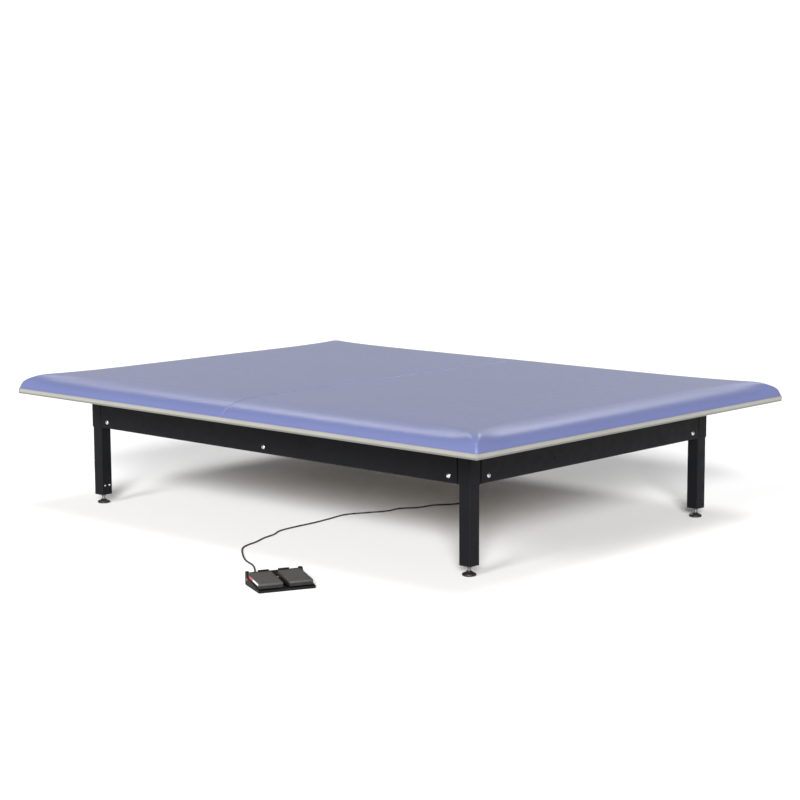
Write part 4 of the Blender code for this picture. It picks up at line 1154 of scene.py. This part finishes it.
def makeControlBox():
    low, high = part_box("control_box")
    bm = bmesh.new()
    verts = block(bm, low, high)
    rounded(bm, uprightEdges(verts), 0.006, 5)
    rims = [e for e in bm.edges if all(abs(v.co.z - low.z) < 0.0001 for v in e.verts)]
    rounded(bm, rims, 0.0028, 3)
    seamLow = low.z + box["seam"]
    for shift in box["seamCuts"]:
        cutAcross(bm, (0, 0, seamLow + shift), (0, 0, 1))
    middle = (low + high) / 2
    for vert in bm.verts:
        if seamLow + 0.0003 < vert.co.z < seamLow + box["seamCuts"][-1] - 0.0003:
            inward = Vector((middle.x - vert.co.x, middle.y - vert.co.y, 0))
            vert.co += Vector((math.copysign(1, inward.x), math.copysign(1, inward.y), 0)) * box["seamDeep"]
    outward(bm)
    addPiece("controlBox", bm, "top", greyPlastic, ("control_box",), 35)
    inset, head = box["screwInset"], box["screwHead"]
    profile = (
        (head, -0.0005), (head, 0.0004), (head * 0.8, 0.0012), (head * 0.4, 0.0015),
        (0.0011, 0.0015), (0.0008, 0.0004),
    )
    spots = [(x, y) for y in (low.y + inset, high.y - inset) for x in (low.x + inset, high.x - inset)]
    for number, (x, y) in enumerate(spots, 1):
        bm = bmesh.new()
        turnedOn(bm, profile, 16, axisPlace((x, y, low.z), (0, 0, -1)))
        outward(bm)
        addPiece(f"boxScrew{number}", bm, "top", zincPlate, (), 40, False)


pin = {
    "places": ((0, 0.0035), (-0.007, -0.002), (0.007, -0.002)),  # across and up, from the socket's middle
    "wide": 0.002,
    "tall": 0.004,
    "root": 0.0165,  # depths behind the inlet's face
    "tip": 0.003,
}


def makeInlet():
    refined("mainsInlet", "power_inlet", "top", blackPlastic, 0.0006, 60)
    low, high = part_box("power_inlet")
    middle = (low + high) / 2
    halfWidth, halfTall = pin["wide"] / 2, pin["tall"] / 2
    for number, (x, z) in enumerate(pin["places"], 1):
        pinX, pinZ = middle.x + x, middle.z + z
        bm = bmesh.new()
        pinLow = (pinX - halfWidth, high.y - pin["root"], pinZ - halfTall)
        verts = block(bm, pinLow, (pinX + halfWidth, high.y - pin["tip"], pinZ + halfTall))
        rounded(bm, edgesOf(verts), 0.0004, 2)
        bmesh.ops.recalc_face_normals(bm, faces=bm.faces)
        addPiece(f"inletPin{number}", bm, "top", zincPlate)


makeControlBox()
makeInlet()


# Gear motors

motor = {"radius": 0.0175, "cap": 0.0185, "capLong": 0.010, "steps": 32}


def makeMotor(corner):
    node = "gear_motor_" + corner
    sideX = cornerSides[corner][0]
    low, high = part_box(node)
    farX = low.x if sideX > 0 else high.x  # the motor's end away from the leg
    boxLow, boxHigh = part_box("lead_screw_" + corner)
    axis = Vector(((boxLow.x + boxHigh.x) / 2, (boxLow.y + boxHigh.y) / 2, (low.z + high.z) / 2))
    half = (high.y - low.y) / 2
    reachOut = Vector((half, half, (high.z - low.z) / 2))
    inward = Vector((-sideX, 0, 0))
    bm = bmesh.new()
    verts = block(bm, axis - reachOut, axis + reachOut)
    rounded(bm, edgesOf(verts), 0.0018, 3)
    outward(bm)
    addPiece(camel("gearbox_" + corner), bm, "top", motorPaint, (node,), 35)
    reach = abs(farX - axis.x)
    radius, cap, capLong = motor["radius"], motor["cap"], motor["capLong"]
    bm = bmesh.new()
    profile = [(radius - 0.003, half - 0.002), (radius - 0.003, half + 0.003), (radius, half + 0.003)]
    for groove in (0.012, 0.016, 0.020):  # cooling grooves near the gearbox
        start = half + groove
        profile += [(radius, start), (radius - 0.0009, start + 0.0004)]
        profile += [(radius - 0.0009, start + 0.0016), (radius, start + 0.0020)]
    seam = reach - capLong
    profile += [
        (radius, seam - 0.0006), (radius - 0.0006, seam - 0.0006), (radius - 0.0006, seam),
        (cap - 0.0005, seam), (cap, seam + 0.0006), (cap, reach - 0.0012), (cap - 0.0012, reach),
        (cap * 0.55, reach), (cap * 0.5, reach - 0.0012), (cap * 0.24, reach - 0.0012),
        (cap * 0.2, reach - 0.0002), (0.001, reach - 0.0002),
    ]
    turnedOn(bm, profile, motor["steps"], axisPlace(axis, inward))
    outward(bm)
    addPiece(camel("motor_" + corner), bm, "top", motorPaint, (), 35, False)


for corner in cornerSides:
    makeMotor(corner)
print("drive pieces made")


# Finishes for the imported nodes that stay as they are


def boardFinish():
    # unfinished particle board: pressed flakes in several browns
    made, tree, shader, place = startFinish("particleBoard", (0.42, 0.30, 0.19), 0.85)
    flakes = pebbled(tree, stretched(tree, place, (1, 0.6, 1), 0.5), 240)
    chips = cloudy(tree, place, 90, 6, 0.7)
    browns = ((0.3, (0.15, 0.12, 0.09)), (0.55, (0.25, 0.20, 0.15)), (0.75, (0.36, 0.29, 0.22)))
    base = ramped(tree, chips, browns)
    pressed = remapped(tree, flakes, 0.0, 0.6, 0.0, 0.5)
    tree.links.new(mixed(tree, pressed, base, (0.19, 0.15, 0.11)), shader.inputs["Base Color"])
    raised(tree, shader, ((chips, 0.0004),))
    return made


keptFinishes = {"deck_board": boardFinish()}
for corner in cornerSides:
    keptFinishes["lift_nut_" + corner] = turnedBronze
    keptFinishes["lead_screw_" + corner] = platedSteel
for node, finish in keptFinishes.items():
    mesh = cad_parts[node].data
    mesh.materials.clear()
    mesh.materials.append(finish)
print("kept nodes finished")


# Studio: floor, sky and lights

studio = {
    "floor": 0.92,
    "sky": 0.20,
    # each lamp: heading and height in degrees, how wide it looks in degrees, strength
    "front": (-82, 31, 18, 1.47),
    "corner": (-49, 20, 17, 5.50),
    "overhead": (61, 82, 28, 0.94),
    # these are seen in gloss only: a low haze over the flat top, and a band along each near rolled edge
    "haze": (133, 14, 60, 0.42),
    "glossFront": (149, 38, 12, 0.18),
    "glossRight": (117, 35, 12, 0.18),
}


def makeFloor():
    bm = bmesh.new()
    bmesh.ops.create_grid(bm, x_segments=1, y_segments=1, size=30)
    mesh = bpy.data.meshes.new("studioFloor")
    bm.to_mesh(mesh)
    bm.free()
    finish = startFinish("paleFloor", (studio["floor"],) * 3, 0.9, {"Specular IOR Level": 0.1})
    mesh.materials.append(finish[0])
    floor = bpy.data.objects.new("studioFloor", mesh)
    scene.collection.objects.link(floor)


def makeLamp(name):
    heading, height, wide, strength = studio[name]
    data = bpy.data.lights.new(name + "Lamp", "SUN")
    data.angle = math.radians(wide)
    data.energy = strength
    lamp = bpy.data.objects.new(name + "Lamp", data)
    scene.collection.objects.link(lamp)
    turn, tilt = math.radians(heading), math.radians(height)
    towards = Vector((math.cos(tilt) * math.cos(turn), math.cos(tilt) * math.sin(turn), math.sin(tilt)))
    lamp.location = towards * 8
    lamp.rotation_euler = towards.to_track_quat("Z", "Y").to_euler()
    return lamp


def makeSky():
    world = bpy.data.worlds.new("studioSky")
    scene.world = world
    world.use_nodes = True
    tree = world.node_tree
    back = tree.nodes["Background"]
    back.inputs["Color"].default_value = (1, 1, 1, 1)
    seen = tree.nodes.new("ShaderNodeLightPath").outputs["Is Camera Ray"]
    tree.links.new(remapped(tree, seen, 0.0, 1.0, studio["sky"], 1.05), back.inputs["Strength"])


makeFloor()
makeSky()
for lampName in ("front", "corner", "overhead"):
    makeLamp(lampName)
for lampName in ("haze", "glossFront", "glossRight"):
    makeLamp(lampName).visible_diffuse = False
scene.view_settings.view_transform = "Standard"
print("studio lit")
